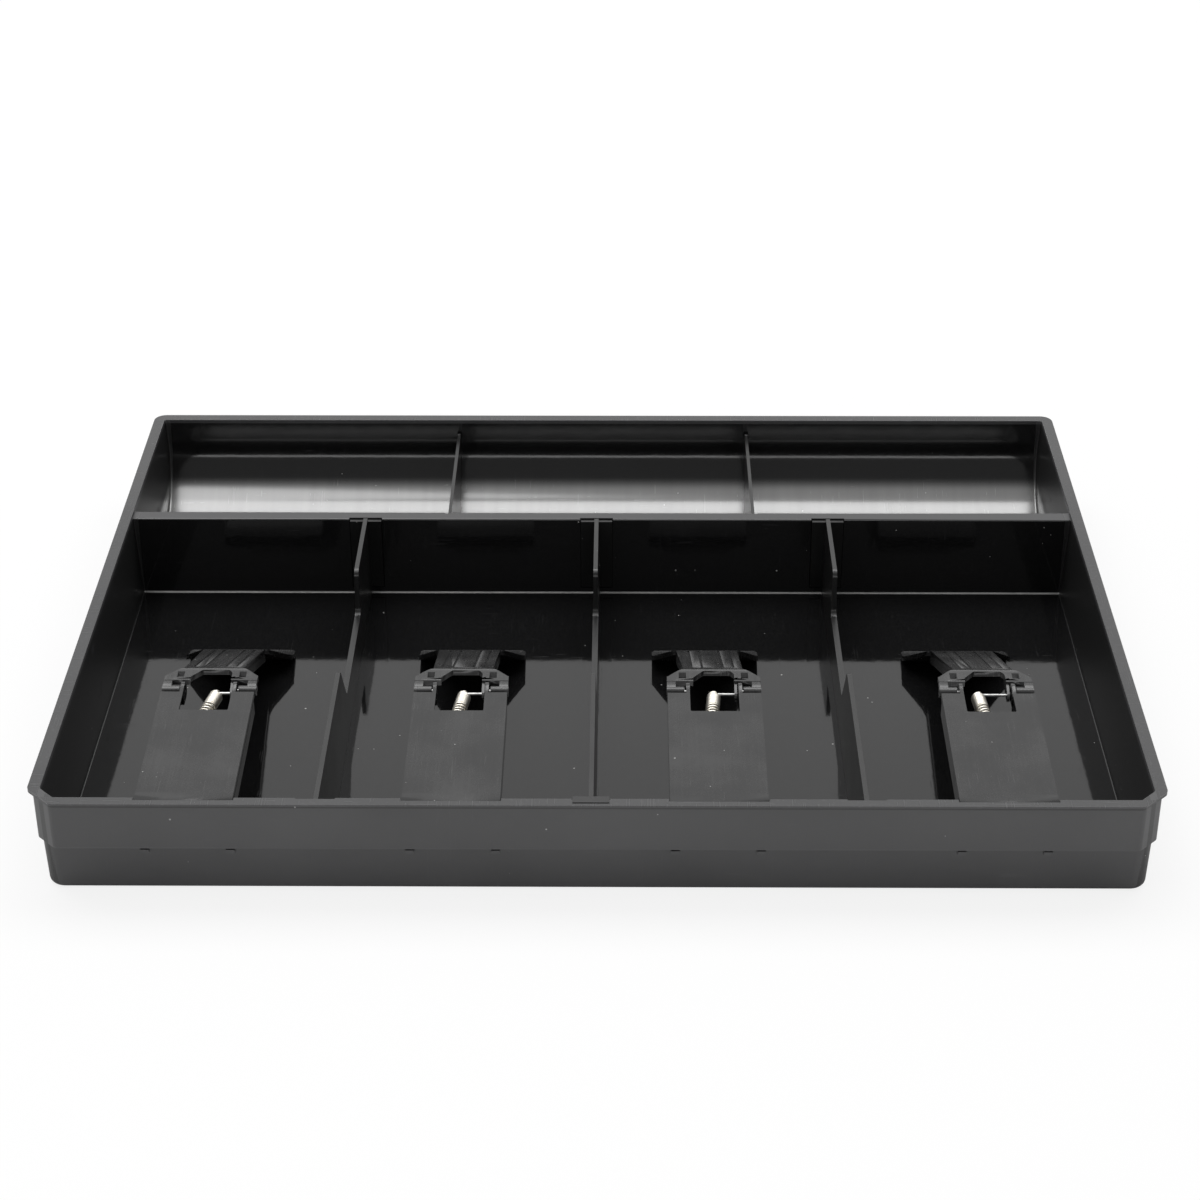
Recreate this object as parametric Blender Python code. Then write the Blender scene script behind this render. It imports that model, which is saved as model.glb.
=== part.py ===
"""Cash register tray with four bill wells, four sprung bill clips and three coin cups.

Lengths are metres. +Z is up, +X runs along the long side and -Y is the front edge, where the
clips are fixed. The origin is under the middle of the tray, on the surface it stands on.
"""

import math

import bmesh
import bpy
from mathutils import Vector

# Tray moulding
TRAY_WIDTH = 0.325
TRAY_DEPTH = 0.2452
RIM_HEIGHT = 0.0318
FLOOR_THICKNESS = 0.0024
RIM_LAND = 0.0037
RIM_LIP = 0.0012
LIP_OVERHANG = 0.0015
SKIRT_BOTTOM = 0.0154
SKIRT_STEP = 0.0014
OUTER_DRAFT = 0.0004
INNER_DRAFT = 0.0016
BOTTOM_EDGE_RADIUS = 0.0016
FRONT_CHAMFER = 0.0078
SKIRT_CHAMFER = 0.0058
LOWER_CORNER_RADIUS = 0.0052
INNER_CHAMFER = 0.0046
CHAMFER_BLEND = 0.0022
REAR_CORNER_RADIUS = 0.004
POCKET_CORNER_RADIUS = 0.0008

# Wall between the bill wells and the coin cups
COIN_WALL_Y = 0.049
COIN_WALL_WIDTH = 0.0047
COIN_WALL_DROP = 0.0011
COIN_WALL_DRAFT = 0.001
CORE_SLOT_WIDTH = 0.0017
CORE_SLOT_SKIN = 0.0045

# Coin cups
SCOOP_RADIUS = 0.022
SCOOP_FRONT_RADIUS = 0.006
SCOOP_SIDE_RADIUS = 0.001
SCOOP_STEPS = 6
SCOOP_SKIN = 0.0022
SCOOP_CORE_SWEEP = math.radians(72.0)
SCOOP_CORE_STEPS = 3
COIN_DIVIDER_X = 0.052
COIN_DIVIDER_DROP = 0.0053
COIN_DIVIDER_TOP = 0.0011
COIN_DIVIDER_BASE = 0.0016
COIN_GROOVE_DEPTH = 0.0008
COIN_BEAD_RADIUS = 0.0008

# Bill dividers
BILL_DIVIDER_X = -0.0015
BILL_DIVIDER_SPACING = 0.0782
BILL_DIVIDER_DROP = 0.0008
BILL_DIVIDER_TOP = 0.0014
BILL_DIVIDER_BASE = 0.0022
NOTCH_REAR_Y = 0.0108
NOTCH_FRONT_Y = -0.0402
NOTCH_LEVEL = 0.0158
NOTCH_RISE = 0.0105
FLANGE_WIDTH = 0.0105
FLANGE_THICKNESS = 0.0015
FLANGE_DROP = 0.0005
FLANGE_RECESS = 0.0009
FRONT_RECESS = 0.0007
CAP_THICKNESS = 0.0005

# Bill clips
CLIP_OFFSETS = (0.0021, -0.0006, -0.0027, -0.0009)
HINGE_SETBACK = 0.0584
HINGE_HEIGHT = 0.0326
HINGE_PIN_RADIUS = 0.00055
BARREL_RADIUS = 0.0014
BARREL_LENGTH = 0.0053
FINGER_RADIUS = 0.0027
FINGER_WIDTH = 0.0011
BRIDGE_WIDTH = 0.028
BRIDGE_THICKNESS = 0.0018
BRIDGE_TIP_THICKNESS = 0.0009
BRIDGE_OVERLAP = 0.0014
BRIDGE_SETBACK = 0.0038
BRIDGE_REAR_LEVEL = 0.0347
BRIDGE_RAIL_DEPTH = 0.0046
BRIDGE_RAIL_WIDTH = 0.0012
FINGER_ROOT_DROP = 0.0006
NOTCH_WIDTH = 0.0146
NOTCH_LENGTH = 0.013
LEG_OFFSET = 0.0123
LEG_WIDTH = 0.0024
LEG_THICKNESS = 0.0014
HOOK_HEIGHT = 0.0012
HOOK_DROP = 0.0006
HOOK_CATCH = 0.0008
HOOK_REACH = 0.0009
POST_RADIUS = 0.0008
POST_OFFSET_X = -0.0012
POST_DISTANCE = 0.015
POST_DROP = 0.0016

FLAP_THICKNESS = 0.0018
FLAP_RISE = 0.002
FLAP_EAR_WIDTH = 0.0284
FLAP_EAR_END = 0.0056
FLAP_EAR_TAPER = 0.0005
FLAP_BEND = 0.0092
FLAP_ARM_START = 0.0104
FLAP_ARM_WIDTH = 0.0192
FLAP_ARM_FLARE = 0.0006
FLAP_SLOPE = math.radians(24.6)
FLAP_REACH = 0.0532
FLAP_FOOT_WIDTH = 0.0346
FLAP_FOOT_SLOPE = math.radians(44.8)
FLAP_HEEL = 0.0599
FLAP_TOE = 0.0688
FLAP_SOLE_SAG = 0.0007
WINDOW_WIDTH = 0.0124
WINDOW_END = 0.0082
WINDOW_CHAMFER_X = 0.0034
WINDOW_CHAMFER_Y = 0.0021
WINDOW_SHOULDER_X = 0.0006
WINDOW_SHOULDER_Y = 0.0015
SQUARE_HOLE = 0.0018
SQUARE_HOLE_X = 0.0094
SQUARE_HOLE_Y = 0.0055
LUG_WIDTH = 0.0027
LUG_INSET = 0.0001
EAR_SLOT_END = 0.0034
RIB_WIDTH = 0.0011
RIB_DEPTH = 0.003
RIB_EMBED = 0.0007
CHEEK_WIDTH = 0.0008
CHEEK_FRONT = 0.0015
CHEEK_DEPTH = 0.0028
TONGUE_WIDTH = 0.0012
TONGUE_INSET = 0.0009
TONGUE_FRONT = 0.0021
SPRING_PIN_RADIUS = 0.00045
SPRING_PIN_Y = 0.0003
SPRING_PIN_DROP = 0.0012

# Clip springs
WIRE_RADIUS = 0.00035
COIL_RADIUS = 0.00145
COIL_PITCH = 0.00114
COIL_TURNS = 8
POINTS_PER_TURN = 9
SPRING_REAR_XS = (0.0024, 0.0011, 0.0001, -0.0027)
COIL_SETBACK = 0.0017
HOOK_SWEEP = math.radians(205.0)

# Sides of the round shapes, from the largest to the smallest
BARREL_SIDES = 24
PIN_SIDES = 16
BEAD_SIDES = 12
KNUCKLE_STEPS = 14

# Clearance between two pieces that touch
GAP = 0.0003

# How far a cutting tool runs past the face it breaks through
OVERCUT = 0.002

# Share of a round corner that its two arcs take, so that their ends stay apart
ARC_SHARE = 0.98

HALF_WIDTH = TRAY_WIDTH / 2
HALF_DEPTH = TRAY_DEPTH / 2
HINGE_Y = HINGE_SETBACK - HALF_DEPTH
COIN_WALL_TOP = RIM_HEIGHT - COIN_WALL_DROP
WALL_HEIGHT = RIM_HEIGHT - FLOOR_THICKNESS
COIN_WALL_FRONT = COIN_WALL_Y - COIN_WALL_WIDTH / 2
COIN_WALL_REAR = COIN_WALL_Y + COIN_WALL_WIDTH / 2
REAR_WALL_Y = HALF_DEPTH - RIM_LAND
BILL_DIVIDER_XS = tuple(BILL_DIVIDER_X + step * BILL_DIVIDER_SPACING for step in (-1, 0, 1))
SIDE_WALL_X = HALF_WIDTH - RIM_LAND


def clear_scene():
    """Remove every object that the file holds."""
    for existing in list(bpy.data.objects):
        bpy.data.objects.remove(existing, do_unlink=True)


def make_material(name, color, roughness, metallic):
    """Principled material with one plain colour."""
    material = bpy.data.materials.new(name)
    material.use_nodes = True
    shader = material.node_tree.nodes["Principled BSDF"]
    shader.inputs["Base Color"].default_value = (*color, 1.0)
    shader.inputs["Roughness"].default_value = roughness
    shader.inputs["Metallic"].default_value = metallic
    return material


def add_object(name, geometry, material=None):
    """Turn a bmesh into an object whose faces point outwards."""
    bmesh.ops.recalc_face_normals(geometry, faces=geometry.faces)
    mesh = bpy.data.meshes.new(name)
    geometry.to_mesh(mesh)
    geometry.free()
    if material:
        mesh.materials.append(material)
    piece = bpy.data.objects.new(name, mesh)
    bpy.context.collection.objects.link(piece)
    return piece


def add_empty(name, place):
    """Empty that carries the pieces of one clip."""
    empty = bpy.data.objects.new(name, None)
    empty.location = place
    bpy.context.collection.objects.link(empty)
    return empty


def combine(target, tool, operation):
    """Cut the target with a tool, or join the two, and delete the tool."""
    modifier = target.modifiers.new(operation, "BOOLEAN")
    modifier.operation = operation
    modifier.solver = "EXACT"
    modifier.object = tool
    bpy.context.view_layer.update()
    graph = bpy.context.evaluated_depsgraph_get()
    finished = bpy.data.meshes.new_from_object(target.evaluated_get(graph))
    target.modifiers.clear()
    target.data = finished
    bpy.data.objects.remove(tool, do_unlink=True)


def cut(target, geometry):
    """Cut a bmesh out of an object."""
    combine(target, add_object("cutter", geometry), "DIFFERENCE")


def join(target, geometry):
    """Join a bmesh to an object."""
    combine(target, add_object("addition", geometry), "UNION")


def shade_round(piece, angle_degrees=35.0):
    """Smooth the round faces of a piece and keep its corners sharp."""
    piece.data.shade_smooth()
    piece.data.set_sharp_from_angle(angle=math.radians(angle_degrees))


def loft(geometry, loops):
    """Closed skin through a stack of loops that have the same number of points."""
    rings = [[geometry.verts.new(point) for point in loop] for loop in loops]
    for lower, upper in zip(rings, rings[1:]):
        for index in range(len(lower)):
            following = (index + 1) % len(lower)
            geometry.faces.new((lower[index], lower[following], upper[following], upper[index]))
    geometry.faces.new(tuple(reversed(rings[0])))
    geometry.faces.new(tuple(rings[-1]))


def add_box(geometry, low, high):
    """Box between two corners."""
    corners = ((low[0], low[1]), (high[0], low[1]), (high[0], high[1]), (low[0], high[1]))
    loft(geometry, [[(x, y, z) for x, y in corners] for z in (low[2], high[2])])


def box(low, high):
    """Bmesh that holds one box."""
    geometry = bmesh.new()
    add_box(geometry, low, high)
    return geometry


def add_side_prism(geometry, outline, low_x, high_x):
    """Prism along X from a closed outline of (y, z) points."""
    loft(geometry, [[(x, y, z) for y, z in outline] for x in (low_x, high_x)])


def side_prism(outline, low_x, high_x):
    """Bmesh that holds one prism along X."""
    geometry = bmesh.new()
    add_side_prism(geometry, outline, low_x, high_x)
    return geometry


def circle(center, radius, count):
    """Points of a circle around a centre in its own plane."""
    turns = [2 * math.pi * index / count for index in range(count)]
    return [(center[0] + radius * math.cos(turn), center[1] + radius * math.sin(turn)) for turn in turns]


def rounded(points, radii, segments=3):
    """Closed outline whose corners are arcs of the given radii."""
    outline = []
    for index, radius in enumerate(radii):
        corner = Vector(points[index])
        if radius <= 0:
            outline.append(tuple(corner))
            continue
        before = (Vector(points[index - 1]) - corner).normalized()
        after = (Vector(points[(index + 1) % len(points)]) - corner).normalized()
        half_angle = before.angle(after) / 2
        center = corner + (before + after).normalized() * radius / math.sin(half_angle)
        start = corner + before * radius / math.tan(half_angle) - center
        end = corner + after * radius / math.tan(half_angle) - center
        first_turn = math.atan2(start.y, start.x)
        sweep = math.atan2(end.y, end.x) - first_turn
        sweep = (sweep + math.pi) % (2 * math.pi) - math.pi
        for step in range(segments + 1):
            turn = first_turn + sweep * step / segments
            outline.append((center.x + radius * math.cos(turn), center.y + radius * math.sin(turn)))
    return outline


def tray_loop(low, high, front_leg, front_blend, rear_radius, level):
    """Tray outline at one level: chamfered front corners and round rear corners."""
    points = [(low[0] + front_leg, low[1]), (high[0] - front_leg, low[1]),
              (high[0], low[1] + front_leg), (high[0], high[1]),
              (low[0], high[1]), (low[0], low[1] + front_leg)]
    radii = [front_blend, front_blend, front_blend, rear_radius, rear_radius, front_blend]
    return [(x, y, level) for x, y in rounded(points, radii)]


def front_corner(inset):
    """Chamfer and rounding of a front corner: cut on the rim and the skirt, round below them."""
    if inset < LIP_OVERHANG:
        return FRONT_CHAMFER, CHAMFER_BLEND
    if inset < LIP_OVERHANG + SKIRT_STEP:
        return SKIRT_CHAMFER, CHAMFER_BLEND
    radius = LOWER_CORNER_RADIUS + LIP_OVERHANG + SKIRT_STEP - inset
    return radius * (2 - math.sqrt(2)), radius * ARC_SHARE


def outer_loop(inset, level):
    """Outer outline of the tray, drawn in from the edge of the rim."""
    leg, blend = front_corner(inset)
    corner = (HALF_WIDTH - inset, HALF_DEPTH - inset)
    return tray_loop((-corner[0], -corner[1]), corner, leg, blend,
                     max(REAR_CORNER_RADIUS - inset, POCKET_CORNER_RADIUS), level)


def inner_draft(level):
    """How far an inner wall has come in below the rim at a level."""
    return INNER_DRAFT * (RIM_HEIGHT - level) / WALL_HEIGHT


def coin_wall_draft(level):
    """How far a face of the coin wall has moved out below its top at a level."""
    return COIN_WALL_DRAFT * (COIN_WALL_TOP - level) / (COIN_WALL_TOP - FLOOR_THICKNESS)


def front_wall_y(level):
    """Inner face of the front wall at a level."""
    return inner_draft(level) + RIM_LAND - HALF_DEPTH


def coin_wall_front_y(level):
    """Front face of the coin wall at a level."""
    return COIN_WALL_FRONT - coin_wall_draft(level)


def fillet_setback(height, radius):
    """How far a hollow fillet stands in from its wall at a height above its floor."""
    if height >= radius:
        return 0.0
    return radius - math.sqrt(radius ** 2 - (radius - height) ** 2)


def scoop_heights():
    """Heights above the floor at which the coin scoop is drawn, from the floor up."""
    steps = [math.pi / 2 * step / SCOOP_STEPS for step in range(SCOOP_STEPS + 1)]
    return [SCOOP_RADIUS * (1 - math.cos(turn)) for turn in steps]


def scoop_rear_y(height):
    """Rear face of the coin cups at a height above their floor."""
    return REAR_WALL_Y - inner_draft(FLOOR_THICKNESS + height) - fillet_setback(height, SCOOP_RADIUS)


def scoop_front_y(height):
    """Front face of the coin cups at a height above their floor."""
    return COIN_WALL_REAR + fillet_setback(height, SCOOP_FRONT_RADIUS)


def bill_pocket():
    """Cutter for the room of the bill wells."""
    geometry = bmesh.new()
    loops = []
    for level in (FLOOR_THICKNESS, RIM_HEIGHT + OVERCUT):
        draft = inner_draft(level)
        low = (draft - SIDE_WALL_X, front_wall_y(level))
        high = (SIDE_WALL_X - draft, coin_wall_front_y(level))
        loops.append(tray_loop(low, high, INNER_CHAMFER, POCKET_CORNER_RADIUS, POCKET_CORNER_RADIUS, level))
    loft(geometry, loops)
    return geometry


def coin_pocket():
    """Cutter for the room of the coin cups, with its scooped rear."""
    geometry = bmesh.new()
    loops = []
    for height in scoop_heights() + [WALL_HEIGHT + OVERCUT]:
        side = SIDE_WALL_X - inner_draft(FLOOR_THICKNESS + height) - fillet_setback(height, SCOOP_SIDE_RADIUS)
        points = [(-side, scoop_front_y(height)), (side, scoop_front_y(height)),
                  (side, scoop_rear_y(height)), (-side, scoop_rear_y(height))]
        outline = rounded(points, [POCKET_CORNER_RADIUS] * len(points), segments=2)
        loops.append([(x, y, FLOOR_THICKNESS + height) for x, y in outline])
    loft(geometry, loops)
    return geometry


def upper_room():
    """Cutter that lowers the coin wall below the rim."""
    top = RIM_HEIGHT + OVERCUT
    return box((-SIDE_WALL_X, COIN_WALL_FRONT - OVERCUT, COIN_WALL_TOP),
               (SIDE_WALL_X, COIN_WALL_REAR + OVERCUT, top))


def flange_recesses():
    """Cutters for the seats of the bill dividers in the coin wall and the front wall."""
    geometry = bmesh.new()
    half = FLANGE_WIDTH / 2 + GAP
    for divider_x in BILL_DIVIDER_XS:
        add_box(geometry, (divider_x - half, COIN_WALL_FRONT - COIN_WALL_DRAFT - OVERCUT, FLOOR_THICKNESS),
                (divider_x + half, COIN_WALL_FRONT + FLANGE_RECESS, RIM_HEIGHT + OVERCUT))
        outline = []
        for level in (FLOOR_THICKNESS, RIM_HEIGHT + OVERCUT):
            outline.append((front_wall_y(level) - FRONT_RECESS, level))
        outline.append((front_wall_y(RIM_HEIGHT) + INNER_DRAFT + OVERCUT, RIM_HEIGHT + OVERCUT))
        outline.append((front_wall_y(FLOOR_THICKNESS) + OVERCUT, FLOOR_THICKNESS))
        add_side_prism(geometry, outline, divider_x - half, divider_x + half)
    return geometry


def coin_grooves():
    """Cutters for the upright grooves that hold the coin dividers."""
    geometry = bmesh.new()
    rear_half = COIN_BEAD_RADIUS + GAP
    front_half = COIN_DIVIDER_BASE / 2 + GAP
    rear_start = FLOOR_THICKNESS + SCOOP_RADIUS
    for side in (-1, 1):
        x = side * COIN_DIVIDER_X
        add_box(geometry, (x - rear_half, scoop_rear_y(SCOOP_RADIUS) - OVERCUT, rear_start),
                (x + rear_half, REAR_WALL_Y + COIN_GROOVE_DEPTH, RIM_HEIGHT + OVERCUT))
        add_box(geometry, (x - front_half, COIN_WALL_REAR - COIN_GROOVE_DEPTH, groove_bottom()),
                (x + front_half, COIN_WALL_REAR + OVERCUT, RIM_HEIGHT + OVERCUT))
    return geometry


def groove_bottom():
    """Level where the front grooves of the coin dividers start, above the front fillet."""
    return FLOOR_THICKNESS + SCOOP_FRONT_RADIUS


def hook_level():
    """Underside of the hooks that hold a clip in the front wall."""
    return SKIRT_BOTTOM - HOOK_DROP - HOOK_HEIGHT


def clip_seats():
    """Cutters for the shallow seats in the rim that the clips lie in."""
    geometry = bmesh.new()
    half = BRIDGE_WIDTH / 2 + GAP
    wall_y = front_wall_y(RIM_HEIGHT)
    for center_x in clip_centers():
        add_box(geometry, (center_x - half, wall_y - BRIDGE_OVERLAP - GAP, clip_seat_level()),
                (center_x + half, wall_y + INNER_DRAFT, RIM_HEIGHT + OVERCUT))
    return geometry


def clip_seat_level():
    """Level of the seats in the rim under the front ends of the clips."""
    return RIM_HEIGHT - BRIDGE_TIP_THICKNESS - GAP


def hook_slots():
    """Cutters for the slots in the front wall that the clips hook into."""
    geometry = bmesh.new()
    half = LEG_WIDTH / 2 + GAP
    for center_x in clip_centers():
        for side in (-1, 1):
            x = center_x + side * LEG_OFFSET
            add_box(geometry, (x - half, -HALF_DEPTH - OVERCUT, hook_level() - GAP),
                    (x + half, front_wall_y(FLOOR_THICKNESS) + OVERCUT, hook_level() + HOOK_HEIGHT + GAP))
    return geometry


def underside_core():
    """Cutter for the slot that hollows the coin wall from below."""
    half = CORE_SLOT_WIDTH / 2
    end = SIDE_WALL_X - INNER_DRAFT - SCOOP_SIDE_RADIUS
    return box((-end, COIN_WALL_Y - half, -OVERCUT),
               (end, COIN_WALL_Y + half, COIN_WALL_TOP - CORE_SLOT_SKIN))


def scoop_core():
    """Cutters that hollow the thick corner behind the coin scoop, one under each cup."""
    geometry = bmesh.new()
    wall_y = HALF_DEPTH - LIP_OVERHANG - SKIRT_STEP - OUTER_DRAFT - SCOOP_SKIN
    center = (scoop_rear_y(SCOOP_RADIUS) - SCOOP_RADIUS, FLOOR_THICKNESS + SCOOP_RADIUS)
    radius = SCOOP_RADIUS + SCOOP_SKIN
    side_turn = math.acos((wall_y - center[0]) / radius)
    outline = [(wall_y, -OVERCUT)]
    for step in range(SCOOP_CORE_STEPS + 1):
        turn = side_turn + (SCOOP_CORE_SWEEP - side_turn) * step / SCOOP_CORE_STEPS
        outline.append((center[0] + radius * math.cos(turn), center[1] - radius * math.sin(turn)))
    outline.append((outline[-1][0], -OVERCUT))
    outer_end = SIDE_WALL_X - INNER_DRAFT - SCOOP_SIDE_RADIUS
    inner_end = COIN_DIVIDER_X + SCOOP_SKIN / 2
    near_end = COIN_DIVIDER_X - SCOOP_SKIN / 2
    for low_x, high_x in ((-outer_end, -inner_end), (-near_end, near_end), (inner_end, outer_end)):
        add_side_prism(geometry, outline, low_x, high_x)
    return geometry


def make_tray(plastic):
    """Tray moulding: rim, skirt, lower wall, floor, coin wall and coin scoop."""
    foot_inset = LIP_OVERHANG + SKIRT_STEP + OUTER_DRAFT
    edge = BOTTOM_EDGE_RADIUS
    soft = edge * (1 - math.sqrt(0.5))
    levels = [(foot_inset + edge, 0.0), (foot_inset + soft, soft), (foot_inset, edge),
              (LIP_OVERHANG + SKIRT_STEP, SKIRT_BOTTOM), (LIP_OVERHANG, SKIRT_BOTTOM),
              (LIP_OVERHANG, RIM_HEIGHT - RIM_LIP), (0.0, RIM_HEIGHT - RIM_LIP), (0.0, RIM_HEIGHT)]
    geometry = bmesh.new()
    loft(geometry, [outer_loop(inset, level) for inset, level in levels])
    tray = add_object("tray_body", geometry, plastic)
    for cutter in (bill_pocket(), coin_pocket(), upper_room(), flange_recesses(), coin_grooves(),
                   clip_seats(), hook_slots(), underside_core(), scoop_core()):
        cut(tray, cutter)
    shade_round(tray)
    return tray


def tapered_plate(outline, top_width, base_width, base_level, top_level):
    """Upright plate along Y whose thickness narrows from its base to its top."""
    geometry = bmesh.new()
    loops = []
    for side in (-1, 1):
        loop = []
        for y, z in outline:
            share = (z - base_level) / (top_level - base_level)
            loop.append((side * (base_width + (top_width - base_width) * share) / 2, y, z))
        loops.append(loop)
    loft(geometry, loops)
    return geometry


def bill_divider_outline(front, rear, base, top):
    """Side outline of a bill divider, with its finger notch."""
    points = [(front, base), (rear, base), (rear, top), (NOTCH_REAR_Y, top),
              (NOTCH_REAR_Y - FLANGE_THICKNESS, NOTCH_LEVEL), (NOTCH_FRONT_Y, NOTCH_LEVEL),
              (NOTCH_FRONT_Y - NOTCH_RISE, top), (front, top)]
    radii = [0, 0, 0, BILL_DIVIDER_TOP, BILL_DIVIDER_TOP, BILL_DIVIDER_TOP / 2, BILL_DIVIDER_TOP / 2, 0]
    return rounded(points, radii)


def make_bill_divider(name, center_x, hooked, plastic):
    """Lift-out divider: a notched plate with a flange at each end."""
    base = FLOOR_THICKNESS + GAP
    top = RIM_HEIGHT - BILL_DIVIDER_DROP
    flange_top = COIN_WALL_TOP - FLANGE_DROP
    rear = COIN_WALL_FRONT + FLANGE_RECESS - GAP
    front_base = front_wall_y(base) - FRONT_RECESS + GAP
    front_top = front_wall_y(flange_top) - FRONT_RECESS + GAP
    inner_front = front_base + FLANGE_THICKNESS / 2
    inner_rear = rear - FLANGE_THICKNESS / 2
    outline = bill_divider_outline(inner_front, inner_rear, base, top)
    plate = tapered_plate(outline, BILL_DIVIDER_TOP, BILL_DIVIDER_BASE, base, top)
    divider = add_object(name, plate, plastic)
    half = FLANGE_WIDTH / 2
    join(divider, box((-half, rear - FLANGE_THICKNESS, base), (half, rear, flange_top)))
    slab = [(front_base, base), (front_base + FLANGE_THICKNESS, base),
            (front_top + FLANGE_THICKNESS, flange_top), (front_top, flange_top)]
    join(divider, side_prism(slab, -half, half))
    if hooked:
        seat = RIM_HEIGHT + GAP
        cap_rear = front_top + FLANGE_THICKNESS
        cap_top = seat + CAP_THICKNESS
        join(divider, box((-half, front_top, flange_top - FLANGE_DROP), (half, cap_rear, cap_top)))
        join(divider, box((-half, -HALF_DEPTH, seat), (half, cap_rear, cap_top)))
    shade_round(divider)
    divider.location.x = center_x
    return divider


def make_coin_divider(name, center_x, plastic):
    """Lift-out coin divider: a plate that follows the scoop and ends in the wall grooves."""
    top = RIM_HEIGHT - COIN_DIVIDER_DROP
    base = FLOOR_THICKNESS + GAP
    heights = scoop_heights()
    rear_side = [(scoop_rear_y(height) - GAP, base + height) for height in heights]
    front_side = [(scoop_front_y(height) + GAP, base + height)
                  for height in heights if height < SCOOP_FRONT_RADIUS]
    groove_y = COIN_WALL_REAR - COIN_GROOVE_DEPTH + GAP
    front_side += [(COIN_WALL_REAR + GAP, groove_bottom() + GAP), (groove_y, groove_bottom() + GAP),
                   (groove_y, top)]
    rear_side.append((scoop_rear_y(WALL_HEIGHT - COIN_DIVIDER_DROP) - GAP - INNER_DRAFT, top))
    outline = rear_side + list(reversed(front_side))
    plate = tapered_plate(outline, COIN_DIVIDER_TOP, COIN_DIVIDER_BASE, base, top)
    divider = add_object(name, plate, plastic)
    bead = bmesh.new()
    bead_y = REAR_WALL_Y + COIN_GROOVE_DEPTH - GAP - INNER_DRAFT / 2 - COIN_BEAD_RADIUS
    bead_base = FLOOR_THICKNESS + SCOOP_RADIUS + GAP
    ring = circle((0.0, bead_y), COIN_BEAD_RADIUS, BEAD_SIDES)
    loft(bead, [[(x, y, level) for x, y in ring] for level in (bead_base, top)])
    join(divider, bead)
    shade_round(divider)
    divider.location.x = center_x
    return divider


def clip_centers():
    """Middle of each clip: the middle of its bill well, moved by its own offset."""
    edges = (-SIDE_WALL_X,) + BILL_DIVIDER_XS + (SIDE_WALL_X,)
    return [(left + right) / 2 + offset for left, right, offset in zip(edges, edges[1:], CLIP_OFFSETS)]


def bridge_tip_y():
    """Front end of a clip bridge in the rim, from the hinge axis."""
    return front_wall_y(RIM_HEIGHT) - BRIDGE_OVERLAP - HINGE_Y


def bridge_top(y):
    """Top face of a clip bridge at a distance from the hinge axis."""
    tip = bridge_tip_y()
    share = (y - tip) / (-BRIDGE_SETBACK - tip)
    return RIM_HEIGHT + (BRIDGE_REAR_LEVEL - RIM_HEIGHT) * share - HINGE_HEIGHT


def bridge_underside(y):
    """Underside of a clip bridge at a distance from the hinge axis."""
    return bridge_top(y) - BRIDGE_THICKNESS


def finger_outline():
    """Side outline of a hinge finger: a bar that ends in a round knuckle."""
    arc = []
    for step in range(KNUCKLE_STEPS + 1):
        turn = -math.pi / 2 + math.pi * step / KNUCKLE_STEPS
        arc.append((FINGER_RADIUS * math.cos(turn), FINGER_RADIUS * math.sin(turn)))
    rear = -BRIDGE_SETBACK
    root = rear - BRIDGE_SETBACK
    return arc + [(rear, bridge_top(rear)), (root, bridge_top(root) - FINGER_ROOT_DROP),
                  (root, bridge_underside(root)), (rear, -FINGER_RADIUS)]


def finger_inner_x():
    """Inner face of a hinge finger."""
    return NOTCH_WIDTH / 2


def leg_outline():
    """Side outline of a clip's leg, with the hook that snaps through the front wall."""
    base = hook_level() - HINGE_HEIGHT
    front = front_wall_y(hook_level()) + GAP - HINGE_Y
    rear = front + LEG_THICKNESS
    wall_face = LIP_OVERHANG + SKIRT_STEP - HALF_DEPTH - HINGE_Y
    catch = wall_face - GAP
    tip = catch - HOOK_REACH
    return [(front, base - HOOK_CATCH), (rear, base - HOOK_CATCH), (rear, bridge_underside(rear) + GAP),
            (front, bridge_underside(front) + GAP), (front, base + HOOK_HEIGHT), (tip, base + HOOK_HEIGHT),
            (tip, base), (catch, base - HOOK_CATCH), (catch, base), (front, base)]


def rail_outline():
    """Side outline of a stiffening rail under a clip bridge."""
    front = front_wall_y(hook_level()) + GAP + LEG_THICKNESS / 2 - HINGE_Y
    rear = -BRIDGE_SETBACK - BRIDGE_THICKNESS
    return [(front, bridge_underside(front) - BRIDGE_RAIL_DEPTH),
            (rear, bridge_underside(rear) - BRIDGE_RAIL_DEPTH),
            (rear, bridge_underside(rear) + GAP), (front, bridge_underside(front) + GAP)]


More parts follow.
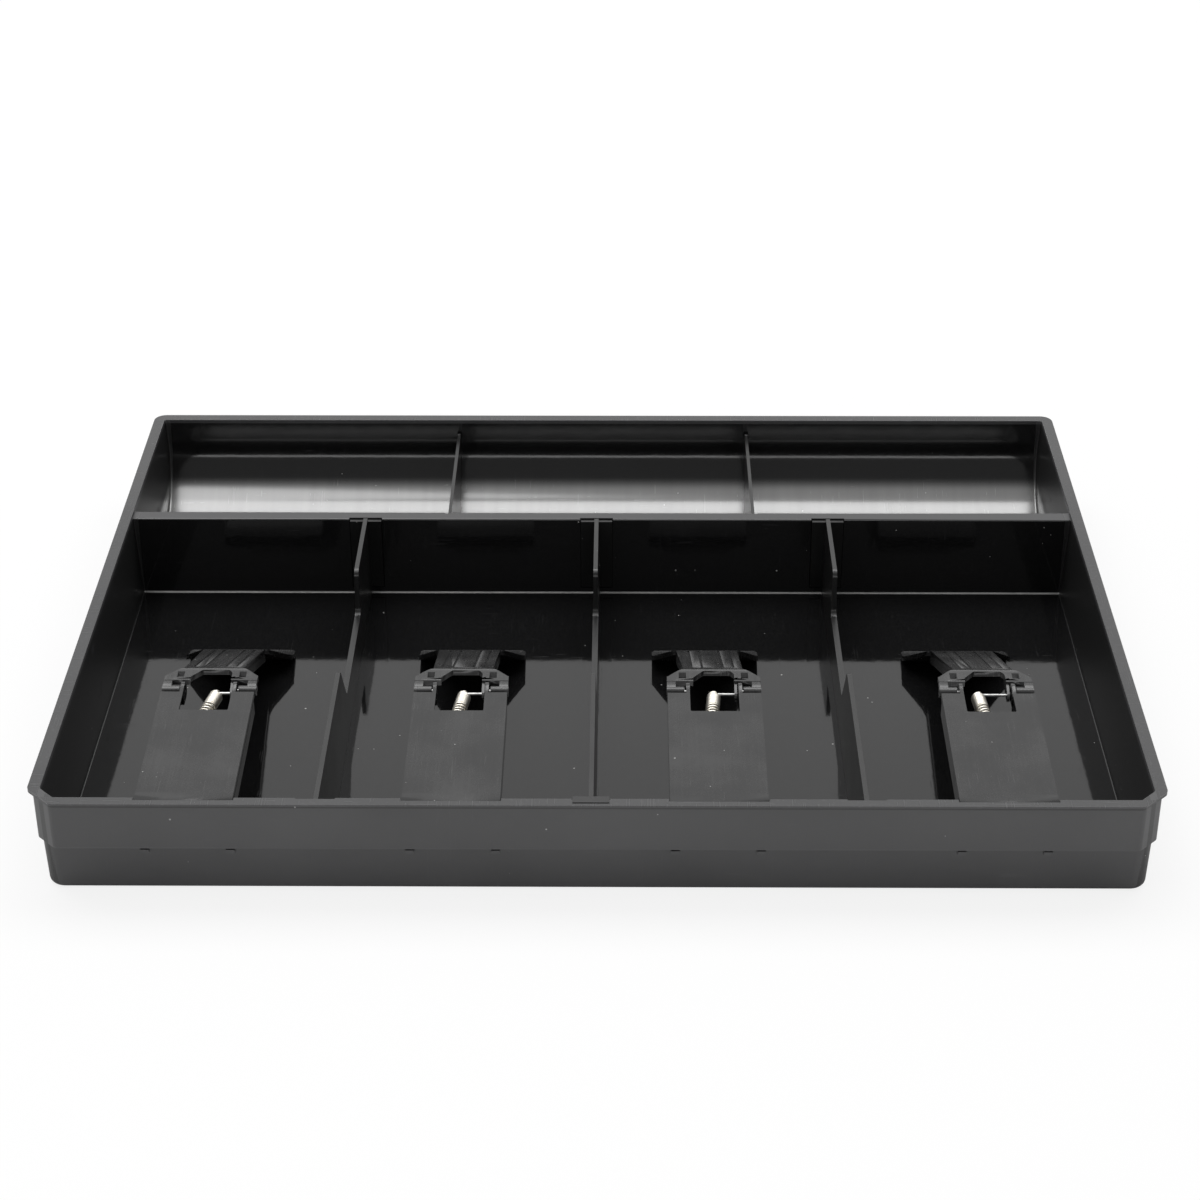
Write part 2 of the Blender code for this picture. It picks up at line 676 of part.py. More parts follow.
def make_bridge(plastic):
    """Fixed part of a clip, drawn from its hinge axis."""
    tip = bridge_tip_y()
    rear = -BRIDGE_SETBACK
    inner = front_wall_y(RIM_HEIGHT) + INNER_DRAFT + GAP - HINGE_Y
    half = BRIDGE_WIDTH / 2
    outline = [(tip, bridge_top(tip) - BRIDGE_TIP_THICKNESS),
               (inner, bridge_top(inner) - BRIDGE_TIP_THICKNESS),
               (inner, bridge_underside(inner)), (rear, bridge_underside(rear)),
               (rear, bridge_top(rear)), (tip, bridge_top(tip))]
    bridge = add_object("bridge", side_prism(outline, -half, half), plastic)
    notch_x = finger_inner_x()
    cut(bridge, box((-notch_x, -NOTCH_LENGTH, -HINGE_HEIGHT), (notch_x, OVERCUT, HINGE_HEIGHT)))
    for side in (-1, 1):
        leg_x = side * LEG_OFFSET
        join(bridge, side_prism(leg_outline(), leg_x - LEG_WIDTH / 2, leg_x + LEG_WIDTH / 2))
        rail_x = side * (half - BRIDGE_RAIL_WIDTH)
        rail = (rail_x - BRIDGE_RAIL_WIDTH / 2, rail_x + BRIDGE_RAIL_WIDTH / 2)
        join(bridge, side_prism(rail_outline(), rail[0], rail[1]))
        finger = sorted((side * finger_inner_x(), side * (finger_inner_x() + FINGER_WIDTH)))
        join(bridge, side_prism(finger_outline(), finger[0], finger[1]))
    join(bridge, spring_post())
    bore = circle((0.0, 0.0), HINGE_PIN_RADIUS + GAP, PIN_SIDES)
    cut(bridge, side_prism(bore, -half - OVERCUT, half + OVERCUT))
    shade_round(bridge)
    return bridge


def post_place():
    """Middle of the spring post, level with the hook of the spring."""
    return Vector((POST_OFFSET_X, -POST_DISTANCE, -POST_DROP))


def pin_place(rear_x):
    """Middle of the spring's rear hook, on the spring pin."""
    return Vector((rear_x, SPRING_PIN_Y, -SPRING_PIN_DROP))


def spring_post():
    """Post under the bridge that the front hook of the spring goes round."""
    place = post_place()
    ring = circle((place.x, place.y), POST_RADIUS, BEAD_SIDES)
    levels = (place.z - 2 * WIRE_RADIUS - GAP, bridge_top(place.y) - BRIDGE_THICKNESS / 2)
    geometry = bmesh.new()
    loft(geometry, [[(x, y, level) for x, y in ring] for level in levels])
    return geometry


def arm_fall(y):
    """How far the top of the sloping arm has dropped below the flat part of the flap."""
    return (y - FLAP_BEND) * math.tan(FLAP_SLOPE)


def flap_path():
    """Middle line of the flap from the hinge to the toe, as (y, z, half width)."""
    middle = FLAP_RISE - FLAP_THICKNESS / 2
    ear = FLAP_EAR_WIDTH / 2
    arm = FLAP_ARM_WIDTH / 2
    wide_arm = arm + FLAP_ARM_FLARE
    foot = FLAP_FOOT_WIDTH / 2
    soft = FLAP_THICKNESS / 2
    ear_end = ear - FLAP_EAR_TAPER
    bend = ear_end + (arm - ear_end) * (FLAP_BEND - FLAP_EAR_END) / (FLAP_ARM_START - FLAP_EAR_END)
    crest = middle - arm_fall(FLAP_REACH)
    fall = math.tan(FLAP_FOOT_SLOPE)
    heel = crest - (FLAP_HEEL - FLAP_REACH) * fall
    toe = FLOOR_THICKNESS + GAP + FLAP_THICKNESS / 2 - HINGE_HEIGHT
    middle_toe = (FLAP_HEEL + FLAP_TOE) / 2
    return [(EAR_SLOT_END, middle, ear), (FLAP_EAR_END, middle, ear_end), (FLAP_BEND, middle, bend),
            (FLAP_ARM_START, middle - arm_fall(FLAP_ARM_START), arm),
            (FLAP_REACH - soft, middle - arm_fall(FLAP_REACH - soft), wide_arm),
            (FLAP_REACH + soft, crest - soft * fall, wide_arm + soft),
            (FLAP_HEEL, heel, foot), (middle_toe, (heel + toe) / 2 - FLAP_SOLE_SAG, foot),
            (FLAP_TOE - soft, toe, foot), (FLAP_TOE, toe, foot - soft)]


def strip_solid(path, thickness):
    """Solid strip that follows a middle line of (y, z, half width) points."""
    loops = []
    for index, (y, z, half) in enumerate(path):
        before = path[max(index - 1, 0)]
        after = path[min(index + 1, len(path) - 1)]
        ahead = Vector((after[0] - before[0], after[1] - before[1])).normalized()
        offset = Vector((-ahead.y, ahead.x)) * thickness / 2
        loops.append([(-half, y - offset.x, z - offset.y), (half, y - offset.x, z - offset.y),
                      (half, y + offset.x, z + offset.y), (-half, y + offset.x, z + offset.y)])
    geometry = bmesh.new()
    loft(geometry, loops)
    return geometry


def flap_window():
    """Cutter for the window of the flap."""
    half = WINDOW_WIDTH / 2
    side_end = WINDOW_END - WINDOW_CHAMFER_Y
    shoulder = (half - WINDOW_SHOULDER_X, WINDOW_END - WINDOW_SHOULDER_Y)
    outline = [(-half, -OVERCUT), (half, -OVERCUT), (half, side_end), shoulder,
               (half - WINDOW_CHAMFER_X, WINDOW_END), (WINDOW_CHAMFER_X - half, WINDOW_END),
               (-shoulder[0], shoulder[1]), (-half, side_end)]
    geometry = bmesh.new()
    loft(geometry, [[(x, y, z) for x, y in outline] for z in (-HINGE_HEIGHT, HINGE_HEIGHT)])
    return geometry


def square_holes():
    """Cutters for the two square holes in the ears of the flap."""
    geometry = bmesh.new()
    hole = SQUARE_HOLE / 2
    for side in (-1, 1):
        x = side * SQUARE_HOLE_X
        add_box(geometry, (x - hole, SQUARE_HOLE_Y - hole, -HINGE_HEIGHT),
                (x + hole, SQUARE_HOLE_Y + hole, HINGE_HEIGHT))
    return geometry


def arm_rib(side):
    """Rib under one edge of the sloping arm."""
    start = FLAP_ARM_START + FLAP_THICKNESS
    end = FLAP_REACH
    inset = GAP / 2
    top = FLAP_RISE - FLAP_THICKNESS + RIB_EMBED
    bottom = FLAP_RISE - FLAP_THICKNESS - RIB_DEPTH
    loops = []
    for y, half in ((start, FLAP_ARM_WIDTH / 2), (end, FLAP_ARM_WIDTH / 2 + FLAP_ARM_FLARE)):
        outer = side * (half - inset)
        inner = side * (half - inset - RIB_WIDTH)
        fall = arm_fall(y)
        loops.append([(inner, y, bottom - fall), (outer, y, bottom - fall),
                      (outer, y, top - fall), (inner, y, top - fall)])
    geometry = bmesh.new()
    loft(geometry, loops)
    return geometry


def cheek_outline():
    """Side outline of the cheek beside the window of the flap, which holds the spring pin."""
    top = FLAP_RISE - FLAP_THICKNESS + RIB_EMBED
    low = -CHEEK_DEPTH
    return rounded([(-CHEEK_FRONT, low), (EAR_SLOT_END, low), (WINDOW_END, FLAP_RISE - FLAP_THICKNESS - GAP),
                    (WINDOW_END, top), (-CHEEK_FRONT, 0.0)], [CHEEK_WIDTH, 0, 0, 0, CHEEK_WIDTH / 2])


def make_flap(plastic):
    """Hinged part of a clip, drawn from its hinge axis."""
    flap = add_object("flap", strip_solid(flap_path(), FLAP_THICKNESS), plastic)
    cut(flap, flap_window())
    cut(flap, square_holes())
    ear = FLAP_EAR_WIDTH / 2
    cheek_outer = finger_inner_x() - GAP
    join(flap, side_prism(cheek_outline(), cheek_outer - CHEEK_WIDTH, cheek_outer))
    tongue_x = WINDOW_WIDTH / 2 - TONGUE_INSET
    for side in (-1, 1):
        barrel = sorted((side * (ear - BARREL_LENGTH), side * ear))
        join(flap, side_prism(circle((0.0, 0.0), BARREL_RADIUS, BARREL_SIDES), barrel[0], barrel[1]))
        lug = sorted((side * (ear - LUG_WIDTH), side * (ear - LUG_INSET)))
        join(flap, box((lug[0], 0.0, FLAP_RISE - FLAP_THICKNESS + LUG_INSET),
                       (lug[1], SQUARE_HOLE_Y, FLAP_RISE - LUG_INSET)))
        tongue = sorted((side * tongue_x, side * (tongue_x + TONGUE_WIDTH)))
        join(flap, box((tongue[0], TONGUE_FRONT, FLAP_RISE - FLAP_THICKNESS + LUG_INSET),
                       (tongue[1], SQUARE_HOLE_Y, FLAP_RISE - LUG_INSET)))
        join(flap, arm_rib(side))
    bore = circle((0.0, 0.0), HINGE_PIN_RADIUS + GAP, PIN_SIDES)
    cut(flap, side_prism(bore, finger_inner_x(), ear + OVERCUT))
    cut(flap, side_prism(bore, -ear - OVERCUT, -finger_inner_x()))
    seat = circle((SPRING_PIN_Y, -SPRING_PIN_DROP), SPRING_PIN_RADIUS + GAP, BEAD_SIDES)
    cut(flap, side_prism(seat, 0.0, cheek_outer + GAP / 2))
    shade_round(flap)
    return flap


def make_rod(name, place, radius, ends, steel):
    """Round steel pin along X."""
    rod = add_object(name, side_prism(circle(place, radius, PIN_SIDES), ends[0], ends[1]), steel)
    shade_round(rod)
    return rod


def smooth_bend(start, start_pull, end, end_pull, count):
    """Points of a cubic between two places, without the places themselves."""
    points = []
    for step in range(1, count + 1):
        share = step / (count + 1)
        square = share ** 2
        cube = share ** 3
        points.append(start * (2 * cube - 3 * square + 1) + start_pull * (cube - 2 * square + share)
                      + end * (3 * square - 2 * cube) + end_pull * (cube - square))
    return points


def spring_points(rear_x):
    """Wire of a clip spring: hook round the spring pin, coil, and hook round the bridge's post."""
    post = post_place()
    pin = pin_place(rear_x)
    axis = (post - pin).normalized()
    right = axis.cross(Vector((0.0, 0.0, 1.0))).normalized()
    if right.x < 0:
        right = -right
    up = Vector((0.0, 0.0, 1.0)) - axis * axis.z
    up.normalize()
    pin_hook = SPRING_PIN_RADIUS + GAP + WIRE_RADIUS
    post_hook = POST_RADIUS + GAP + WIRE_RADIUS
    hook_steps = 9
    points = []
    for step in range(hook_steps, -1, -1):
        turn = HOOK_SWEEP * step / hook_steps
        points.append(pin + (up * math.cos(turn) - axis * math.sin(turn)) * pin_hook)
    first_turn = math.pi / 2
    last_turn = 2 * math.pi * COIL_TURNS + math.pi
    steps = round((last_turn - first_turn) / (2 * math.pi) * POINTS_PER_TURN)
    coil = []
    for step in range(steps + 1):
        turn = first_turn + (last_turn - first_turn) * step / steps
        around = right * math.cos(turn) + up * math.sin(turn)
        along = COIL_SETBACK + COIL_PITCH * (turn - first_turn) / (2 * math.pi)
        coil.append(pin + axis * along + around * COIL_RADIUS)
    first_way = (coil[1] - coil[0]).normalized()
    last_way = (coil[-1] - coil[-2]).normalized()
    pull = 2 * COIL_RADIUS
    points += smooth_bend(points[-1], axis * pull, coil[0], first_way * pull, 3)
    points += coil
    ring_start = post - right * post_hook
    points += smooth_bend(coil[-1], last_way * pull, ring_start, axis * pull * 2, 4)
    for step in range(hook_steps + 1):
        turn = HOOK_SWEEP * step / hook_steps
        points.append(post + (right * -math.cos(turn) + axis * math.sin(turn)) * post_hook)
    return points


def least_gap(points):
    """Least clear gap between parts of the wire that aren't neighbours along it."""
    reach = POINTS_PER_TURN // 2
    least = min((points[first] - points[second]).length
                for first in range(len(points)) for second in range(first + reach, len(points)))
    return least - 2 * WIRE_RADIUS


def make_spring(name, rear_x, steel):
    """Extension spring drawn as one wire."""
    points = spring_points(rear_x)
    print(f"{name}: least gap between turns {least_gap(points) * 1000:.2f} mm")
    curve = bpy.data.curves.new(name, "CURVE")
    curve.dimensions = "3D"
    curve.bevel_depth = WIRE_RADIUS
    curve.bevel_resolution = 1
    curve.use_fill_caps = True
    spline = curve.splines.new("POLY")
    spline.points.add(len(points) - 1)
    for target, point in zip(spline.points, points):
        target.co = (*point, 1.0)
    curve.materials.append(steel)
    spring = bpy.data.objects.new(name, curve)
    bpy.context.collection.objects.link(spring)
    return spring


def place_copy(source, name, parent):
    """Copy of a piece under its own name, carried by an empty."""
    piece = bpy.data.objects.new(name, source.data)
    bpy.context.collection.objects.link(piece)
    piece.parent = parent
    return piece


def make_clips(plastic, steel, wire):
    """Four bill clips, each on its own pair of empties at its hinge axis."""
    bridge = make_bridge(plastic)
    flap = make_flap(plastic)
    pin_ends = (finger_inner_x() + GAP / 2, FLAP_EAR_WIDTH / 2 - GAP)
    for number, (center_x, rear_x) in enumerate(zip(clip_centers(), SPRING_REAR_XS), start=1):
        base = add_empty(f"clip_{number}_base", (center_x, HINGE_Y, HINGE_HEIGHT))
        hinge = add_empty(f"clip_{number}_hinge", (center_x, HINGE_Y, HINGE_HEIGHT))
        place_copy(bridge, f"clip_{number}_bridge", base)
        place_copy(flap, f"clip_{number}_flap", hinge)
        for side, word in ((-1, "left"), (1, "right")):
            ends = sorted((side * pin_ends[0], side * pin_ends[1]))
            pin = make_rod(f"clip_{number}_hinge_pin_{word}", (0.0, 0.0), HINGE_PIN_RADIUS, ends, steel)
            pin.parent = base
        place = pin_place(rear_x)
        stub_ends = (rear_x - WIRE_RADIUS * 2, finger_inner_x() - GAP)
        stub = make_rod(f"clip_{number}_spring_pin", (place.y, place.z), SPRING_PIN_RADIUS, stub_ends, steel)
        stub.parent = hinge
        make_spring(f"clip_{number}_spring", rear_x, wire).parent = base
    for pattern in (bridge, flap):
        bpy.data.objects.remove(pattern, do_unlink=True)


def main():
    """Model the whole tray."""
    clear_scene()
    tray_plastic = make_material("black_tray_plastic", (0.014, 0.014, 0.015), 0.22, 0.0)
    divider_plastic = make_material("black_divider_plastic", (0.016, 0.016, 0.017), 0.2, 0.0)
    clip_plastic = make_material("black_clip_plastic", (0.018, 0.018, 0.018), 0.28, 0.0)
    pin_steel = make_material("pin_steel", (0.6, 0.6, 0.6), 0.3, 1.0)
    spring_steel = make_material("nickel_spring_steel", (0.78, 0.76, 0.7), 0.2, 1.0)
    make_tray(tray_plastic)
    for word, center_x in zip(("left", "centre", "right"), BILL_DIVIDER_XS):
        make_bill_divider(f"bill_divider_{word}", center_x, word == "centre", divider_plastic)
    for word, side in (("left", -1), ("right", 1)):
        make_coin_divider(f"coin_divider_{word}", side * COIN_DIVIDER_X, divider_plastic)
    make_clips(clip_plastic, pin_steel, spring_steel)


main()
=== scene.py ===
"""Dressed model of a cash register tray with sprung bill clips, lift-out dividers and coin cups.

Every length is in metres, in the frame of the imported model: +X along the long side, +Y towards
the coin cups, +Z up, and the origin under the middle of the tray.
"""

from __future__ import annotations

import logging
import math
from collections.abc import Callable, Iterator
from contextlib import contextmanager
from dataclasses import dataclass, field
from enum import Enum

import bmesh
import bpy
from mathutils import Matrix, Vector

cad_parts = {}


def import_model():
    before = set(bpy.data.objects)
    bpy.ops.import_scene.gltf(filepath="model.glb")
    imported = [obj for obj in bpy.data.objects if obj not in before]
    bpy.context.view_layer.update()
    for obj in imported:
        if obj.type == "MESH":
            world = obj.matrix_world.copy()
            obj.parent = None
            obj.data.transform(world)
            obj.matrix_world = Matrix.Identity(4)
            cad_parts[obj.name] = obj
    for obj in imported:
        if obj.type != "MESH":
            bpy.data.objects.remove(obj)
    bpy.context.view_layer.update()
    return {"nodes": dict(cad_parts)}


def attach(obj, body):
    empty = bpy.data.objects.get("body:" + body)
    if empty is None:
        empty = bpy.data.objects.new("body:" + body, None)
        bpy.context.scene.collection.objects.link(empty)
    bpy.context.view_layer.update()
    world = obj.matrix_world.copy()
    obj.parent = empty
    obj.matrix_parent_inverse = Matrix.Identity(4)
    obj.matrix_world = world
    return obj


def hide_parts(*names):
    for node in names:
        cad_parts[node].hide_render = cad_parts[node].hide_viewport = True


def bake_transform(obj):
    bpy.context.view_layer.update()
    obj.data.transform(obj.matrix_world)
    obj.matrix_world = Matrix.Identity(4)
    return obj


LOG = logging.getLogger("tray")
GAP = 0.0003
TINY = 1e-5

Point = tuple[float, float, float]
Pair = tuple[float, float]


# Mesh tools


class Part(Enum):
    """Kind of mesh element that an edit acts on."""

    VERTEX = (True, False, False)
    EDGE = (False, True, False)
    FACE = (False, False, True)


def near(value: float, target: float, reach: float = TINY) -> bool:
    """Whether a number lies within reach of another."""
    return abs(value - target) < reach


def select_only(piece: bpy.types.Object) -> None:
    """Make one object the only selected and the active one.

    Args:
        piece: Object to select.
    """
    bpy.ops.object.select_all(action="DESELECT")
    piece.select_set(True)
    bpy.context.view_layer.objects.active = piece


@contextmanager
def editing(piece: bpy.types.Object) -> Iterator[None]:
    """Keep a piece in edit mode for the length of a with block.

    Args:
        piece: Mesh object to edit.

    Returns:
        A context that leaves edit mode at its end.
    """
    select_only(piece)
    bpy.ops.object.mode_set(mode="EDIT")
    yield
    bpy.ops.object.mode_set(mode="OBJECT")


def pick(piece: bpy.types.Object, part: Part, test: Callable[..., bool]) -> None:
    """Select the elements of the piece in edit mode that pass a test.

    Args:
        piece: Mesh object in edit mode.
        part: Kind of element.
        test: Takes a vertex's place, an edge's two ends, or a face's middle and normal.
    """
    bpy.context.tool_settings.mesh_select_mode = part.value
    bpy.ops.mesh.select_all(action="DESELECT")
    mesh = bmesh.from_edit_mesh(piece.data)
    if part is Part.VERTEX:
        for vertex in mesh.verts:
            vertex.select_set(test(vertex.co))
    elif part is Part.EDGE:
        for edge in mesh.edges:
            edge.select_set(test(edge.verts[0].co, edge.verts[1].co))
    else:
        for face in mesh.faces:
            face.select_set(test(face.calc_center_median(), face.normal))
    mesh.select_flush_mode()
    bmesh.update_edit_mesh(piece.data)


def shift(offset: Point) -> None:
    """Move the selected elements."""
    bpy.ops.transform.translate(value=offset)


def stretch(scale: Point, centre: Point) -> None:
    """Scale the selected elements about a point."""
    bpy.ops.transform.resize(value=scale, center_override=centre)


def round_edges(radius: float, segments: int) -> None:
    """Round the selected edges."""
    bpy.ops.mesh.bevel(offset=radius, segments=segments, affect="EDGES", clamp_overlap=False)


def make_box(name: str, low: Point, high: Point) -> bpy.types.Object:
    """Box between two corners.

    Args:
        name: Name of the object.
        low: Lowest corner.
        high: Highest corner.

    Returns:
        The box, with its place in its mesh.
    """
    bpy.ops.object.select_all(action="DESELECT")
    middle = [(a + b) / 2 for a, b in zip(low, high)]
    bpy.ops.mesh.primitive_cube_add(size=1, location=middle, scale=[b - a for a, b in zip(low, high)])
    box = bpy.context.active_object
    box.name = name
    box.data.name = name
    bpy.ops.object.transform_apply(location=True, rotation=True, scale=True)
    return box


def make_rod(name: str, start: Point, end: Point, radius: float, sides: int = 32) -> bpy.types.Object:
    """Round rod between two points.

    Args:
        name: Name of the object.
        start: Middle of one end.
        end: Middle of the other end.
        radius: Radius of the rod.
        sides: Number of sides of the rod.

    Returns:
        The rod, with its place in its mesh.
    """
    bpy.ops.object.select_all(action="DESELECT")
    along = Vector(end) - Vector(start)
    turn = along.to_track_quat("Z", "Y").to_euler()
    middle = (Vector(start) + Vector(end)) / 2
    bpy.ops.mesh.primitive_cylinder_add(vertices=sides, radius=radius, depth=along.length,
                                        location=middle, rotation=turn)
    rod = bpy.context.active_object
    rod.name = name
    rod.data.name = name
    bpy.ops.object.transform_apply(location=True, rotation=True, scale=True)
    return rod


def make_profile(name: str, sides: Pair, stations: list[Point]) -> bpy.types.Object:
    """Slab along Y whose underside and top pass through given stations.

    Args:
        name: Name of the object.
        sides: Lowest and highest X.
        stations: Y, lowest Z and highest Z at each station, in the order of Y.

    Returns:
        The slab, cut at each station and with its vertices moved into place.
    """
    low = min(station[1] for station in stations) - GAP
    high = max(station[2] for station in stations) + GAP
    slab = make_box(name, (sides[0], stations[0][0], low), (sides[1], stations[-1][0], high))
    with editing(slab):
        for y, _, _ in stations[1:-1]:
            bpy.ops.mesh.select_all(action="SELECT")
            bpy.ops.mesh.bisect(plane_co=(0, y, 0), plane_no=(0, 1, 0))
        for y, bottom, top in stations:
            pick(slab, Part.VERTEX, lambda place: near(place.y, y) and near(place.z, low))
            shift((0, 0, bottom - low))
            pick(slab, Part.VERTEX, lambda place: near(place.y, y) and near(place.z, high))
            shift((0, 0, top - high))
    return slab


def combine(piece: bpy.types.Object, tool: bpy.types.Object, operation: str) -> None:
    """Cut a piece with a tool, or join the two, and remove the tool.

    Args:
        piece: Object that is changed.
        tool: Object that cuts or joins.
        operation: DIFFERENCE or UNION.
    """
    select_only(piece)
    modifier = piece.modifiers.new(operation, "BOOLEAN")
    modifier.operation = operation
    modifier.solver = "EXACT"
    modifier.object = tool
    bpy.ops.object.modifier_apply(modifier=modifier.name)
    bpy.data.objects.remove(tool, do_unlink=True)


def cut(piece: bpy.types.Object, *tools: bpy.types.Object) -> None:
    """Cut tools out of a piece."""
    for tool in tools:
        combine(piece, tool, "DIFFERENCE")


def join(piece: bpy.types.Object, *tools: bpy.types.Object) -> None:
    """Join tools to a piece."""
    for tool in tools:
        combine(piece, tool, "UNION")


def soften(piece: bpy.types.Object, width: float, segments: int = 2, angle: float = 40.0) -> None:
    """Round every edge of a piece that is sharper than an angle.

    Args:
        piece: Mesh object.
        width: Width of the rounding.
        segments: Number of steps in it.
        angle: Least angle in degrees.
    """
    select_only(piece)
    modifier = piece.modifiers.new("soft edges", "BEVEL")
    modifier.width = width
    modifier.segments = segments
    modifier.limit_method = "ANGLE"
    modifier.angle_limit = math.radians(angle)
    modifier.miter_outer = "MITER_ARC"
    bpy.ops.object.modifier_apply(modifier=modifier.name)


def smooth(piece: bpy.types.Object, angle: float = 32.0, weight: int = 50) -> None:
    """Shade a piece smooth, and keep its flat faces flat.

    Args:
        piece: Mesh object.
        angle: Edges sharper than this many degrees stay sharp.
        weight: How much the larger faces count, 100 for the largest alone.
    """
    select_only(piece)
    bpy.ops.object.shade_smooth_by_angle(angle=math.radians(angle))
    modifier = piece.modifiers.new("flat faces", "WEIGHTED_NORMAL")
    modifier.keep_sharp = True
    modifier.weight = weight
    bpy.ops.object.modifier_apply(modifier=modifier.name)


def copy_to(pattern: bpy.types.Object, name: str, place: Point) -> bpy.types.Object:
    """Copy of a pattern with its own mesh, moved to a place.

    Args:
        pattern: Object modelled round the origin.
        name: Name of the copy.
        place: Where the pattern's origin goes.

    Returns:
        The copy, with its place in its mesh.
    """
    piece = bpy.data.objects.new(name, pattern.data.copy())
    piece.data.name = name
    piece.data.transform(Matrix.Translation(place))
    bpy.context.scene.collection.objects.link(piece)
    return piece


def dress(piece: bpy.types.Object, material: bpy.types.Material) -> None:
    """Give a piece one material."""
    piece.data.materials.clear()
    piece.data.materials.append(material)


# Shader tools


class Signal:
    """Output of a node, on which Python's arithmetic adds Math nodes."""

    def __init__(self, desk: ShaderDesk, socket: bpy.types.NodeSocket) -> None:
        """Wrap a socket.

        Args:
            desk: Desk that the socket belongs to.
            socket: Output socket.
        """
        self.desk = desk
        self.socket = socket

    def math(self, operation: str, *others: Signal | float) -> Signal:
        """Result of a Math node on this signal.

        Args:
            operation: Operation of the Math node.
            others: Its other values.

        Returns:
            The node's output.
        """
        return self.desk.math(operation, self, *others)

    def __add__(self, other: Signal | float) -> Signal:
        """Sum."""
        return self.math("ADD", other)

    __radd__ = __add__

    def __mul__(self, other: Signal | float) -> Signal:
        """Product."""
        return self.math("MULTIPLY", other)

    __rmul__ = __mul__

    def __sub__(self, other: Signal | float) -> Signal:
        """Difference."""
        return self.math("SUBTRACT", other)

    def __rsub__(self, other: Signal | float) -> Signal:
        """Difference with the operands the other way round."""
        return self.desk.math("SUBTRACT", other, self)

    def __pow__(self, other: Signal | float) -> Signal:
        """Power."""
        return self.math("POWER", other)

    def __abs__(self) -> Signal:
        """Size without its sign."""
        return self.math("ABSOLUTE")

    def ramp(self, low: float, high: float) -> Signal:
        """Smooth rise from 0 at low to 1 at high, or fall if low is the greater."""
        node = self.desk.node("ShaderNodeMapRange", {"interpolation_type": "SMOOTHSTEP"},
                              {"Value": self, "From Min": low, "From Max": high})
        return Signal(self.desk, node.outputs["Result"])

    def either(self, other: Signal | float) -> Signal:
        """Greater of two signals."""
        return self.math("MAXIMUM", other)

    def both(self, other: Signal | float) -> Signal:
        """Lesser of two signals."""
        return self.math("MINIMUM", other)


